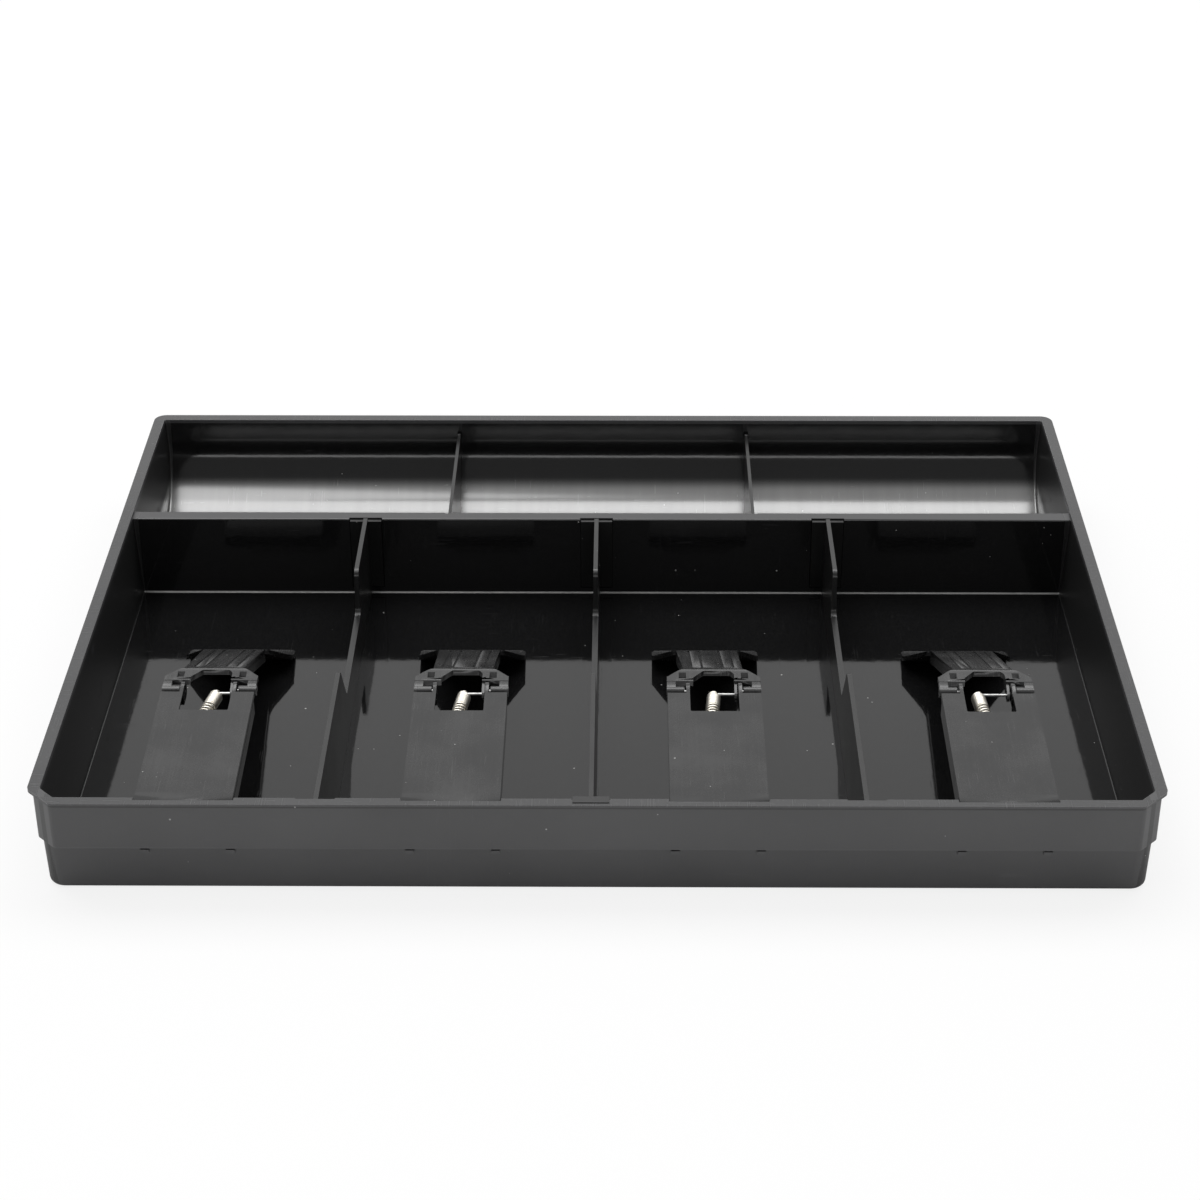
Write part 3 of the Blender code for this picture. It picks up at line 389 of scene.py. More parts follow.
class ShaderDesk:
    """Node tree of a material or a world."""

    def __init__(self, tree: bpy.types.NodeTree) -> None:
        """Take over a node tree.

        Args:
            tree: Tree of a material or a world.
        """
        self.tree = tree
        self.shader = tree.nodes.get("Principled BSDF")
        self.axes: dict[str, Signal] = {}

    @classmethod
    def material(cls, name: str) -> tuple[bpy.types.Material, ShaderDesk]:
        """Start a material with a Principled shader.

        Args:
            name: Name of the material.

        Returns:
            The material and its desk.
        """
        made = bpy.data.materials.new(name)
        made.use_nodes = True
        return made, cls(made.node_tree)

    @classmethod
    def of_tree(cls, tree: bpy.types.NodeTree) -> ShaderDesk:
        """Desk of an emptied tree."""
        tree.nodes.clear()
        return cls(tree)

    def node(self, kind: str, settings: dict[str, object] | None = None,
             inputs: dict[str | int, object] | None = None) -> bpy.types.Node:
        """Node of any type.

        Args:
            kind: Type of the node.
            settings: Properties, which are set first.
            inputs: Values or signals of its sockets, by name or number.

        Returns:
            The new node.
        """
        made = self.tree.nodes.new(kind)
        for key, value in (settings or {}).items():
            setattr(made, key, value)
        for key, value in (inputs or {}).items():
            self.feed(made.inputs[key], value)
        return made

    def feed(self, socket: bpy.types.NodeSocket, value: object) -> None:
        """Set a socket to a value, or link a signal to it."""
        if isinstance(value, Signal):
            self.tree.links.new(value.socket, socket)
        else:
            socket.default_value = value

    def math(self, operation: str, *values: Signal | float) -> Signal:
        """Math node.

        Args:
            operation: Its operation.
            values: Its values, in order.

        Returns:
            Its output.
        """
        made = self.node("ShaderNodeMath", {"operation": operation}, dict(enumerate(values)))
        return Signal(self, made.outputs[0])

    def place(self) -> Signal:
        """Object coordinates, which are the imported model's own."""
        if "place" not in self.axes:
            made = self.node("ShaderNodeTexCoord")
            self.axes["place"] = Signal(self, made.outputs["Object"])
        return self.axes["place"]

    def axis(self, letter: str) -> Signal:
        """One of the coordinates X, Y and Z."""
        if letter not in self.axes:
            split = self.node("ShaderNodeSeparateXYZ", inputs={"Vector": self.place()})
            for name in "XYZ":
                self.axes[name] = Signal(self, split.outputs[name])
        return self.axes[letter]

    def warped(self, scale: Point) -> Signal:
        """Object coordinates stretched by a factor along each axis."""
        made = self.node("ShaderNodeMapping", inputs={"Vector": self.place(), "Scale": scale})
        return Signal(self, made.outputs["Vector"])

    def noise(self, scale: float, detail: float = 2.0, stretch_by: Point | None = None,
              roughness: float = 0.5) -> Signal:
        """Noise from 0 to 1.

        Args:
            scale: Features per metre.
            detail: Octaves.
            stretch_by: Factor along each axis, or None.
            roughness: Share of the finer octaves.

        Returns:
            The noise.
        """
        vector = self.warped(stretch_by) if stretch_by else self.place()
        made = self.node("ShaderNodeTexNoise", {"normalize": True},
                         {"Vector": vector, "Scale": scale, "Detail": detail, "Roughness": roughness})
        return Signal(self, made.outputs["Fac"])

    def specks(self, scale: float, radius: float, share: float) -> Signal:
        """Sparse round specks, 1 on a speck and 0 elsewhere.

        Args:
            scale: Cells per metre.
            radius: Radius of a speck, in cells.
            share: Share of the cells that hold one.

        Returns:
            The specks.
        """
        made = self.node("ShaderNodeTexVoronoi", {"feature": "F1"}, {"Vector": self.place(), "Scale": scale})
        split = self.node("ShaderNodeSeparateColor", inputs={"Color": Signal(self, made.outputs["Color"])})
        chosen = Signal(self, split.outputs["Red"]).ramp(1 - share, 1 - share * 0.8)
        size = Signal(self, split.outputs["Green"]) * radius + radius * 0.4
        return (Signal(self, made.outputs["Distance"]) - size).ramp(radius * 0.2, -radius * 0.2) * chosen

    def scratches(self, scale: float, along: Point, threshold: float) -> Signal:
        """Fine broken lines that run one way.

        Args:
            scale: Features per metre across the lines.
            along: Factor along each axis, small along the lines.
            threshold: Level above which a line shows.

        Returns:
            1 on a line and 0 elsewhere.
        """
        fine = self.noise(scale, 1.0, along)
        broad = self.noise(scale / 18, 2.0)
        return fine.ramp(threshold, threshold + 0.06) * broad.ramp(0.45, 0.65)

    def blend_colour(self, factor: Signal, first: Point, second: Point) -> Signal:
        """Colour that goes from the first to the second as the factor rises."""
        made = self.node("ShaderNodeMix", {"data_type": "RGBA"},
                         {"Factor": factor, 6: (*first, 1.0), 7: (*second, 1.0)})
        return Signal(self, made.outputs[2])

    def mix_colour(self, factor: Signal, first: Signal, second: Point) -> Signal:
        """Colour signal that goes to a plain colour as the factor rises."""
        made = self.node("ShaderNodeMix", {"data_type": "RGBA", "clamp_factor": True},
                         {"Factor": factor, 6: first, 7: (*second, 1.0)})
        return Signal(self, made.outputs[2])

    def relief(self, height: Signal, depth: float, strength: float = 1.0) -> None:
        """Drive the shader's normal from a height of 0 to 1.

        Args:
            height: Height signal.
            depth: Depth of the full height, in metres.
            strength: Strength of the Bump node.
        """
        made = self.node("ShaderNodeBump", inputs={"Height": height, "Distance": depth, "Strength": strength})
        self.tree.links.new(made.outputs["Normal"], self.shader.inputs["Normal"])


@dataclass(frozen=True)
class TrayFinish:
    """Glossy black moulding: mirror-like wells, satin outside, a coated coin scoop with a painted highlight, and
    painted shade and highlight lines.
    """

    name: str = "black_tray_moulding"
    colour: Point = (0.0040, 0.0040, 0.0042)
    grained: Point = (0.0110, 0.0110, 0.0113)
    outside: Point = (0.050, 0.050, 0.0515)
    # Painted highlight: light grey put into the colour of the lower coin scoop, where the lamp's reflection falls.
    painted_scoop_highlight: Point = (0.080, 0.080, 0.078)
    dust: Point = (0.42, 0.42, 0.41)
    # Painted highlight: light grey line in the fillet at the foot of the coin wall's front face.
    painted_fillet_line: Point = (0.45, 0.45, 0.44)
    gloss: float = 0.05
    satin: float = 0.40
    side_satin: float = 0.42
    rim_satin: float = 0.26
    cup_satin: float = 0.17
    inner_half: float = 0.1568
    half_width: float = 0.1625
    half_depth: float = 0.1226
    skin: float = 0.0036
    rim_level: float = 0.0314
    skirt_level: float = 0.0154
    cup_start: float = 0.0508
    wall_level: float = 0.0300
    floor_level: float = 0.0024
    fillet_line_start: float = 0.0452
    fillet_line_end: float = 0.0461
    # Band of the lower coin scoop that takes the coat and the painted highlight.
    scoop_band_top: float = 0.0115
    scoop_band_low: float = 0.0075

    def build(self) -> bpy.types.Material:
        """Make the material.

        Returns:
            The material.
        """
        material, desk = ShaderDesk.material(self.name)
        level = desk.axis("Z")
        across = (abs(desk.axis("X")) - (self.half_width - self.skin)).ramp(-0.0002, 0.0002)
        endways = (abs(desk.axis("Y")) - (self.half_depth - self.skin)).ramp(-0.0002, 0.0002)
        outside = across.either(endways)
        rim = level.ramp(self.rim_level - 0.0002, self.rim_level + 0.0001)
        cup = desk.axis("Y").ramp(self.cup_start - 0.0002, self.cup_start + 0.0004) * (1 - outside)
        low_cup = cup * level.ramp(self.wall_level + 0.0002, self.wall_level - 0.0006)
        side = (abs(desk.axis("X")) - self.inner_half).ramp(-0.0002, 0.0002) * (1 - outside)
        cloud = desk.noise(26, 3.0)
        ripple = desk.noise(150, 2.0)
        grain = desk.noise(2600, 2.0)
        streak = desk.noise(300, 3.0, (1.0, 0.06, 0.06))
        hairlines = desk.scratches(2600, (1.0, 0.02, 0.02), 0.66).either(
            desk.scratches(2100, (0.03, 1.0, 0.4), 0.68))
        specks = desk.specks(150, 0.036, 0.20).either(desk.specks(400, 0.07, 0.05))
        nicks = desk.noise(900, 2.0).ramp(0.58, 0.74) * rim
        sheen = low_cup * level.ramp(self.scoop_band_top, self.scoop_band_low) * (0.8 + streak * 0.3)
        # Mask of the painted highlight on the lower coin scoop.
        painted_scoop_mask = sheen * (0.7 + cloud * 0.5)
        rough = (self.gloss + cloud * 0.02 + outside * (self.satin - self.gloss)
                 + rim * (self.rim_satin - self.satin) * outside + hairlines * 0.10 + specks * 0.4
                 + side * (self.side_satin - self.gloss)
                 + low_cup * (self.cup_satin - self.gloss) * level.ramp(self.scoop_band_top + 0.004, self.scoop_band_low)
                 + low_cup * streak * 0.06)
        desk.feed(desk.shader.inputs["Roughness"], rough)
        desk.feed(desk.shader.inputs["Coat Weight"], sheen.both(1.0))
        desk.shader.inputs["Coat Roughness"].default_value = self.cup_satin
        desk.shader.inputs["Coat IOR"].default_value = 1.85
        plain = desk.blend_colour(grain.ramp(0.35, 0.75), self.colour, self.grained)
        # Painted light: outer faces above the skirt's lower edge are made lighter than the lower wall, which sits in
        # the floor's shade.
        skirt = level.ramp(self.skirt_level - 0.0004, self.skirt_level)
        # Painted shadow: a dark band on the outer faces just under the rim's lip.
        painted_lip_shadow = (level.ramp(self.rim_level - 0.0009, self.rim_level - 0.0007)
                  * level.ramp(self.rim_level - 0.0001, self.rim_level - 0.0003))
        # Painted highlight: a light line along the skirt's lower edge.
        edge = (level.ramp(self.skirt_level - 0.0001, self.skirt_level)
                * level.ramp(self.skirt_level + 0.0005, self.skirt_level + 0.0003))
        # Painted highlight: lighter colour on the coin wall's top and on the inner faces above its level.
        painted_top_light = level.ramp(self.wall_level + 0.0003, self.wall_level + 0.0006) * (1 - outside)
        # The pale outer tone here also carries painted light: the lighter skirt band, the painted lip shadow, the
        # painted skirt line and the painted top highlight.
        satin = (outside * (0.60 + skirt * 0.08 + cloud * 0.45) * (1 - rim * 0.15)
                 * (1 - painted_lip_shadow * 0.8) * (1 + edge * 0.5) + painted_top_light * 0.9).both(1.0)
        outer = desk.mix_colour(satin + nicks * 0.3 + hairlines * 0.15, plain, self.outside)
        # Painted highlight: mask of a light line along the fillet at the foot of the coin wall's front face.
        painted_fillet_line = (level.ramp(self.floor_level + 0.0006, self.floor_level + 0.0004)
                * desk.axis("Y").ramp(self.fillet_line_start, self.fillet_line_start + 0.0002)
                * desk.axis("Y").ramp(self.fillet_line_end, self.fillet_line_end - 0.0002)) * (1 - outside)
        # The painted scoop highlight and the painted fillet line go into the colour here.
        worn = desk.mix_colour(painted_scoop_mask.both(1.0), outer, self.painted_scoop_highlight)
        worn = desk.mix_colour(painted_fillet_line * (0.6 + streak * 0.5), worn, self.painted_fillet_line)
        desk.feed(desk.shader.inputs["Base Color"], desk.mix_colour(specks * 0.8, worn, self.dust))
        height = ripple * 0.4 + grain * outside * 0.35 + streak * low_cup * 0.10 - hairlines * 0.05
        desk.relief(height, 0.00005)
        desk.shader.inputs["IOR"].default_value = 1.54
        return material


@dataclass(frozen=True)
class SatinFinish:
    """Black plastic with a satin skin, for the loose dividers and the clips."""

    name: str
    colour: Point = (0.0036, 0.0036, 0.0037)
    worn: Point = (0.0120, 0.0120, 0.0120)
    dust: Point = (0.42, 0.42, 0.41)
    roughness: float = 0.26
    spread: float = 0.10
    grain_depth: float = 0.00002
    line_share: float = 0.0
    along: Point = (1.0, 0.03, 0.03)

    def build(self) -> bpy.types.Material:
        """Make the material.

        Returns:
            The material.
        """
        material, desk = ShaderDesk.material(self.name)
        cloud = desk.noise(55, 3.0)
        ripple = desk.noise(240, 2.0)
        grain = desk.noise(3200, 3.0)
        lines = desk.noise(1300, 2.0, self.along)
        hairlines = desk.scratches(2400, self.along, 0.64)
        specks = desk.specks(170, 0.036, 0.20).either(desk.specks(460, 0.07, 0.07))
        rough = (self.roughness + cloud * self.spread + lines * self.line_share * 0.05
                 + hairlines * 0.08 + specks * 0.4)
        desk.feed(desk.shader.inputs["Roughness"], rough)
        wear = (cloud.ramp(0.35, 0.8) * 0.45 + grain.ramp(0.4, 0.8) * 0.35 + hairlines * 0.2
                + lines.ramp(0.4, 0.8) * self.line_share * 0.2)
        plain = desk.blend_colour(wear.both(1.0), self.colour, self.worn)
        desk.feed(desk.shader.inputs["Base Color"], desk.mix_colour(specks * 0.8, plain, self.dust))
        height = ripple * 0.5 + grain * 0.35 + lines * self.line_share * 0.3
        desk.relief(height, self.grain_depth)
        desk.shader.inputs["IOR"].default_value = 1.54
        return material


@dataclass(frozen=True)
class MetalFinish:
    """Bare or plated wire and pins."""

    name: str
    colour: Point
    shadow: Point
    roughness: float
    drawn: Point

    def build(self) -> bpy.types.Material:
        """Make the material.

        Returns:
            The material.
        """
        material, desk = ShaderDesk.material(self.name)
        lines = desk.noise(5200, 2.0, self.drawn)
        cloud = desk.noise(700, 3.0)
        desk.feed(desk.shader.inputs["Roughness"], self.roughness + lines * 0.10 + cloud * 0.05)
        desk.feed(desk.shader.inputs["Base Color"],
                  desk.blend_colour(cloud.ramp(0.3, 0.75), self.colour, self.shadow))
        desk.shader.inputs["Metallic"].default_value = 1.0
        desk.relief(lines, 0.000008)
        return material


@dataclass(frozen=True)
class Finishes:
    """Materials of the whole tray."""

    tray: bpy.types.Material
    divider: bpy.types.Material
    clip: bpy.types.Material
    flap: bpy.types.Material
    pin: bpy.types.Material
    spring: bpy.types.Material

    @classmethod
    def build(cls) -> Finishes:
        """Make every material once."""
        clip = SatinFinish("satin_clip_plastic", (0.0140, 0.0140, 0.0144), (0.052, 0.052, 0.052),
                           roughness=0.10, spread=0.07, grain_depth=0.00004, line_share=0.5)
        return cls(
            TrayFinish().build(),
            SatinFinish("satin_divider_plastic", along=(0.03, 1.0, 0.2)).build(),
            clip.build(),
            SatinFinish("grained_flap_plastic", (0.0150, 0.0150, 0.0154), (0.056, 0.056, 0.056),
                        roughness=0.19, spread=0.08, grain_depth=0.00006, line_share=1.0).build(),
            MetalFinish("cut_pin_steel", (0.55, 0.55, 0.54), (0.36, 0.36, 0.36), 0.26, (1.0, 0.05, 0.05)).build(),
            MetalFinish("nickel_plated_wire", (0.95, 0.92, 0.85), (0.84, 0.80, 0.71), 0.34, (0.3, 1.0, 1.0)).build(),
        )


# Pieces of the tray


@dataclass
class TrayMoulding:
    """Tray body: rim, skirt, lower wall, wells, cross wall and coin cups."""

    half_width: float = 0.1625
    half_depth: float = 0.1226
    rim: float = 0.0318
    floor: float = 0.0024
    land: float = 0.0037
    lip: float = 0.0012
    overhang: float = 0.0015
    skirt: float = 0.0154
    step: float = 0.0014
    outer_draft: float = 0.0004
    inner_draft: float = 0.0016
    chamfer: float = 0.0078
    chamfer_round: float = 0.0009
    skirt_chamfer: float = 0.0058
    lower_corner: float = 0.0052
    inner_chamfer: float = 0.0046
    rear_corner: float = 0.004
    foot_round: float = 0.0016
    edge_round: float = 0.0003
    floor_round: float = 0.0005
    wall_front: float = 0.04665
    wall_rear: float = 0.05135
    wall_top: float = 0.0307
    wall_draft: float = 0.001
    wall_round: float = 0.0005
    scoop_round: float = 0.022
    cup_front_round: float = 0.006
    cup_end_round: float = 0.0007
    slot_gap: float = 0.00005
    slot_skin: float = 0.0006
    nub: float = 0.0012
    flange_half: float = 0.00555
    flange_recess: float = 0.0009
    seat_foot: float = 0.002
    front_recess: float = 0.0007
    groove_depth: float = 0.0008
    seat_half: float = 0.0143
    seat_depth: float = 0.00146
    seat_drop: float = 0.00096
    hook_level: float = 0.0136
    hook_height: float = 0.0012
    hook_half: float = 0.0012
    hook_offset: float = 0.0123
    bill_dividers: tuple[float, ...] = (-0.0797, -0.0015, 0.0767)
    coin_dividers: tuple[float, ...] = (-0.052, 0.052)
    clips: tuple[float, ...] = (-0.11715, -0.0412, 0.0349, 0.11685)

    def ring(self, name: str, inset: float, low: float, high: float, front: float,
             facets: int) -> bpy.types.Object:
        """Block with the tray's outline, drawn in from the edge of the rim.

        Args:
            name: Name of the block.
            inset: How far it is drawn in.
            low: Its lowest level.
            high: Its highest level.
            front: Size of its front corners.
            facets: 1 for cut front corners, more for round ones.

        Returns:
            The block.
        """
        x, y = self.half_width - inset, self.half_depth - inset
        block = make_box(name, (-x, -y, low), (x, y, high))
        with editing(block):
            pick(block, Part.EDGE, lambda a, b: self.upright(a, b) and a.y < 0)
            round_edges(front, facets)
            if facets == 1:
                pick(block, Part.EDGE, lambda a, b: self.upright(a, b) and a.y < 0)
                round_edges(self.chamfer_round, 4)
            pick(block, Part.EDGE, lambda a, b: self.upright(a, b) and a.y > 0)
            round_edges(max(self.rear_corner - inset, self.chamfer_round), 6)
        return block

    def shell(self) -> bpy.types.Object:
        """Outer shape: rim, skirt and lower wall.

        Returns:
            A solid with the outer faces of the tray.
        """
        shell = self.ring("tray_moulding", 0.0, self.rim - self.lip, self.rim, self.chamfer, 1)
        skirt = self.ring("skirt", self.overhang, self.skirt, self.rim - self.lip / 2, self.skirt_chamfer, 1)
        lower = self.ring("lower", self.overhang + self.step, 0.0, self.skirt + self.lip,
                          self.lower_corner, 10)
        drawn = 1 - self.outer_draft / self.half_depth
        with editing(lower):
            pick(lower, Part.FACE, lambda middle, normal: normal.z < -0.5)
            stretch((1 - self.outer_draft / self.half_width, drawn, 1), (0, 0, 0))
            pick(lower, Part.EDGE, lambda a, b: near(a.z, 0, 1e-4) and near(b.z, 0, 1e-4))
            round_edges(self.foot_round, 4)
        join(shell, skirt, lower)
        soften(shell, self.edge_round, 2)
        return shell

    @staticmethod
    def upright(a: Vector, b: Vector) -> bool:
        """Whether an edge stands upright."""
        return near(a.x, b.x) and near(a.y, b.y)

    def flare(self, cutter: bpy.types.Object) -> None:
        """Draw the underside of a cutter in through the rounded edge of the rim."""
        radius = self.edge_round
        pick(cutter, Part.FACE, lambda middle, normal: normal.z < -0.5)
        bpy.ops.mesh.inset(thickness=radius * 0.5, depth=radius * 0.13)
        bpy.ops.mesh.inset(thickness=radius * 0.37, depth=radius * 0.37)
        bpy.ops.mesh.inset(thickness=radius * 0.13, depth=radius * 0.5)

    def bill_cutter(self) -> bpy.types.Object:
        """Room of the bill wells.

        Returns:
            The cutter.
        """
        radius = self.edge_round
        side = self.half_width - self.land + radius
        cutter = make_box("bill_room", (-side, self.land - self.half_depth - radius, self.rim),
                          (side, self.wall_front, self.rim + 0.003))
        depth = self.rim - radius - self.floor
        with editing(cutter):
            pick(cutter, Part.EDGE, lambda a, b: self.upright(a, b) and a.y < 0)
            round_edges(self.inner_chamfer, 1)
            self.flare(cutter)
            bpy.ops.mesh.inset(thickness=self.inner_draft, depth=depth)
            pick(cutter, Part.VERTEX, lambda place: place.y > self.wall_front - 0.005 and place.z < self.rim)
            shift((0, radius, 0))
            pick(cutter, Part.VERTEX, lambda place: place.y > self.wall_front - 0.005 and place.z < 0.01)
            shift((0, self.inner_draft - self.wall_draft, 0))
            pick(cutter, Part.EDGE, lambda a, b: not near(a.z, b.z, TINY))
            round_edges(self.floor_round, 3)
            pick(cutter, Part.EDGE, lambda a, b: near(a.z, self.floor, 1e-4) and near(b.z, self.floor, 1e-4))
            round_edges(self.floor_round, 3)
        return cutter

    def coin_cutter(self) -> bpy.types.Object:
        """Room of the coin cups, with the scoop along the rear wall.

        Returns:
            The cutter.
        """
        radius = self.edge_round
        side = self.half_width - self.land + radius
        rear = self.half_depth - self.land + radius
        cutter = make_box("coin_room", (-side, self.wall_rear, self.rim), (side, rear, self.rim + 0.003))
        depth = self.rim - radius - self.floor
        low = 1e-4 + self.floor
        with editing(cutter):
            self.flare(cutter)
            bpy.ops.mesh.inset(thickness=self.inner_draft, depth=depth)
            pick(cutter, Part.VERTEX, lambda place: place.y < self.wall_rear + 0.005 and place.z < self.rim)
            shift((0, -radius, 0))
            pick(cutter, Part.VERTEX, lambda place: place.y < self.wall_rear + 0.005 and place.z < 0.01)
            shift((0, -self.inner_draft, 0))
            pick(cutter, Part.EDGE, lambda a, b: max(a.z, b.z) < low and min(a.y, b.y) > 0.11)
            round_edges(self.scoop_round, 14)
            pick(cutter, Part.EDGE, lambda a, b: max(a.z, b.z) < low and max(a.y, b.y) < 0.06)
            round_edges(self.cup_front_round, 8)
            pick(cutter, Part.EDGE, self.cup_end)
            round_edges(self.cup_end_round, 5)
        return cutter

    def cup_end(self, a: Vector, b: Vector) -> bool:
        """Whether an edge runs round the lower end of the coin room."""
        side = self.half_width - self.land - self.inner_draft - GAP
        low = self.rim - 0.004
        return abs(a.x) > side and abs(b.x) > side and near(a.x, b.x, 0.002) and (
            min(a.z, b.z) < low and max(a.z, b.z) < self.rim - 0.0001 and not near(a.y, b.y, 1e-6)
            or max(a.z, b.z) < low)

    def slot_end(self) -> float:
        """Outer end of the hook slots, just inside the front face."""
        return self.overhang + self.step - self.half_depth + self.slot_skin

    def hook_nubs(self) -> list[bpy.types.Object]:
        """Small nubs on the front face where the hooks of the clips show.

        Returns:
            The nubs to join to the moulding.
        """
        made = []
        face = self.overhang + self.step - self.half_depth
        top = self.hook_level + self.hook_height
        for x in self.clips:
            for side in (-1, 1):
                middle = x + side * self.hook_offset
                made.append(make_box("nub", (middle - self.hook_half, face - self.nub, self.hook_level),
                                     (middle + self.hook_half, face + self.slot_skin / 2, top)))
        return made

    def small_cutters(self) -> list[bpy.types.Object]:
        """Recesses for the dividers and clips, and the hollows under the tray.

        Returns:
            The cutters.
        """
        top = self.rim + 0.002
        front = self.land - self.half_depth
        tools = [make_box("upper_room", (self.land - self.half_width, self.wall_front - 0.002, self.wall_top),
                          (self.half_width - self.land, self.wall_rear + 0.002, top))]
        for x in self.bill_dividers:
            low, high = x - self.flange_half, x + self.flange_half
            tools.append(make_box("rear_seat", (low, self.wall_front - 0.003, self.floor + self.seat_foot),
                                  (high, self.wall_front + self.flange_recess, top)))
            tools.append(make_profile("front_seat", (low, high), [
                (front - self.front_recess, self.rim - 0.0001, top),
                (front - self.front_recess + self.inner_draft, self.floor, top),
                (front + self.inner_draft + 0.001, self.floor, top)]))
        for x in self.coin_dividers:
            tools.append(make_box("front_groove", (x - 0.0011, self.wall_rear - self.groove_depth, 0.0084),
                                  (x + 0.0011, self.wall_rear + 0.002, top)))
        for x in self.clips:
            tools.append(make_box("clip_seat", (x - self.seat_half, front - self.seat_depth, self.rim - self.seat_drop),
                                  (x + self.seat_half, front + 0.001, top)))
            for side in (-1, 1):
                middle = x + side * self.hook_offset
                half = self.hook_half + self.slot_gap
                tools.append(make_box("hook_slot", (middle - half, self.slot_end(), self.hook_level - self.slot_gap),
                                      (middle + half, front + self.inner_draft + 0.001,
                                       self.hook_level + self.hook_height + self.slot_gap)))
        wall_middle = (self.wall_front + self.wall_rear) / 2
        tools.append(make_box("wall_core", (-0.154, wall_middle - 0.00085, -0.001),
                              (0.154, wall_middle + 0.00085, self.wall_top - 0.0045)))
        return tools

    def build(self, finishes: Finishes) -> bpy.types.Object:
        """Model and dress the moulding.

        Args:
            finishes: Materials.

        Returns:
            The finished piece.
        """
        body = self.shell()
        cut(body, self.bill_cutter(), self.coin_cutter(), *self.small_cutters())
        join(body, *self.hook_nubs())
        with editing(body):
            pick(body, Part.EDGE, lambda a, b: near(a.z, self.wall_top) and near(b.z, self.wall_top) and (
                near(a.y, b.y) and near(abs(a.y - (self.wall_front + self.wall_rear) / 2), 0.00235, 3e-4)))
            round_edges(self.wall_round, 3)
        smooth(body)
        dress(body, finishes.tray)
        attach(body, "tray")
        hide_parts("tray_body")
        return body


@dataclass
class BillDivider:
    """Loose divider between two bill wells, with a finger notch."""

    tray: TrayMoulding
    drop: float = 0.0008
    top_width: float = 0.0014
    base_width: float = 0.0022
    notch_rear: float = 0.0108
    notch_front: float = -0.0402
    notch_level: float = 0.0158
    notch_rise: float = 0.0105
    flange: float = 0.0105
    thickness: float = 0.0015
    flange_drop: float = 0.0005
    cap: float = 0.0002
    cap_setback: float = 0.0013
    foot_gap: float = 0.00008

    def build(self, name: str, node: str, x: float, hooked: bool, finishes: Finishes) -> bpy.types.Object:
        """Model and dress one divider.

        Args:
            name: Name of the piece.
            node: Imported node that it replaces.
            x: Place across the tray.
            hooked: Whether its front flange lies on the rim.
            finishes: Materials.

        Returns:
            The finished piece.
        """
        tray = self.tray
        base = tray.floor + self.foot_gap
        top = tray.rim - self.drop
        flange_top = tray.wall_top - self.flange_drop
        rear = tray.wall_front + tray.flange_recess - GAP
        draft = tray.inner_draft * (tray.rim - base) / (tray.rim - tray.floor)
        front = tray.land - tray.half_depth - tray.front_recess + GAP
        half = self.top_width / 2
        stations = [(front + draft + self.thickness / 2, base, top),
                    (self.notch_front - self.notch_rise, base, top),
                    (self.notch_front, base, self.notch_level),
                    (self.notch_rear - 0.0015, base, self.notch_level),
                    (self.notch_rear, base, top), (rear - self.thickness / 2, base, top)]
        plate = make_profile(name, (-half, half), stations)
        wide = self.base_width / self.top_width
        middle = 1 + (wide - 1) * (top - self.notch_level) / (top - base)
        with editing(plate):
            pick(plate, Part.VERTEX, lambda place: near(place.z, base))
            stretch((wide, 1, 1), (0, 0, 0))
            pick(plate, Part.VERTEX, lambda place: near(place.z, self.notch_level))
            stretch((middle, 1, 1), (0, 0, 0))
            pick(plate, Part.VERTEX, lambda place: near(place.z, top) and near(place.y, stations[0][0]))
            shift((0, GAP - draft - self.thickness / 2, 0))
            for y, radius in ((self.notch_front, 0.0012), (self.notch_rear - 0.0015, 0.0020),
                              (self.notch_rear, 0.0022), (self.notch_front - self.notch_rise, 0.0010)):
                pick(plate, Part.EDGE, lambda a, b: near(a.y, y) and near(b.y, y) and min(a.z, b.z) > base + 0.001
                     and near(a.z, b.z))
                round_edges(radius, 5)
        wing = self.flange / 2
        join(plate, make_box("rear_flange", (-wing, rear - self.thickness, tray.floor + tray.seat_foot + GAP),
                             (wing, rear, flange_top)))
        slab = make_profile("front_flange", (-wing, wing), [
            (front, flange_top - TINY, flange_top), (front + draft, base, flange_top),
            (front + self.thickness, base, flange_top),
            (front + draft + self.thickness, base, base + 0.001)])
        join(plate, slab)
        if hooked:
            seat = tray.rim + GAP / 6
            inner = front + tray.front_recess + GAP
            join(plate, make_box("cap_neck", (-wing, front, flange_top - 0.001), (wing, inner, seat + self.cap)),
                 make_box("cap", (-wing, self.cap_setback - tray.half_depth, seat), (wing, inner, seat + self.cap)))
        soften(plate, 0.00028, 2, 50)
        smooth(plate)
        plate.data.transform(Matrix.Translation((x, 0, 0)))
        dress(plate, finishes.divider)
        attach(plate, node)
        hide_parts(node)
        return plate


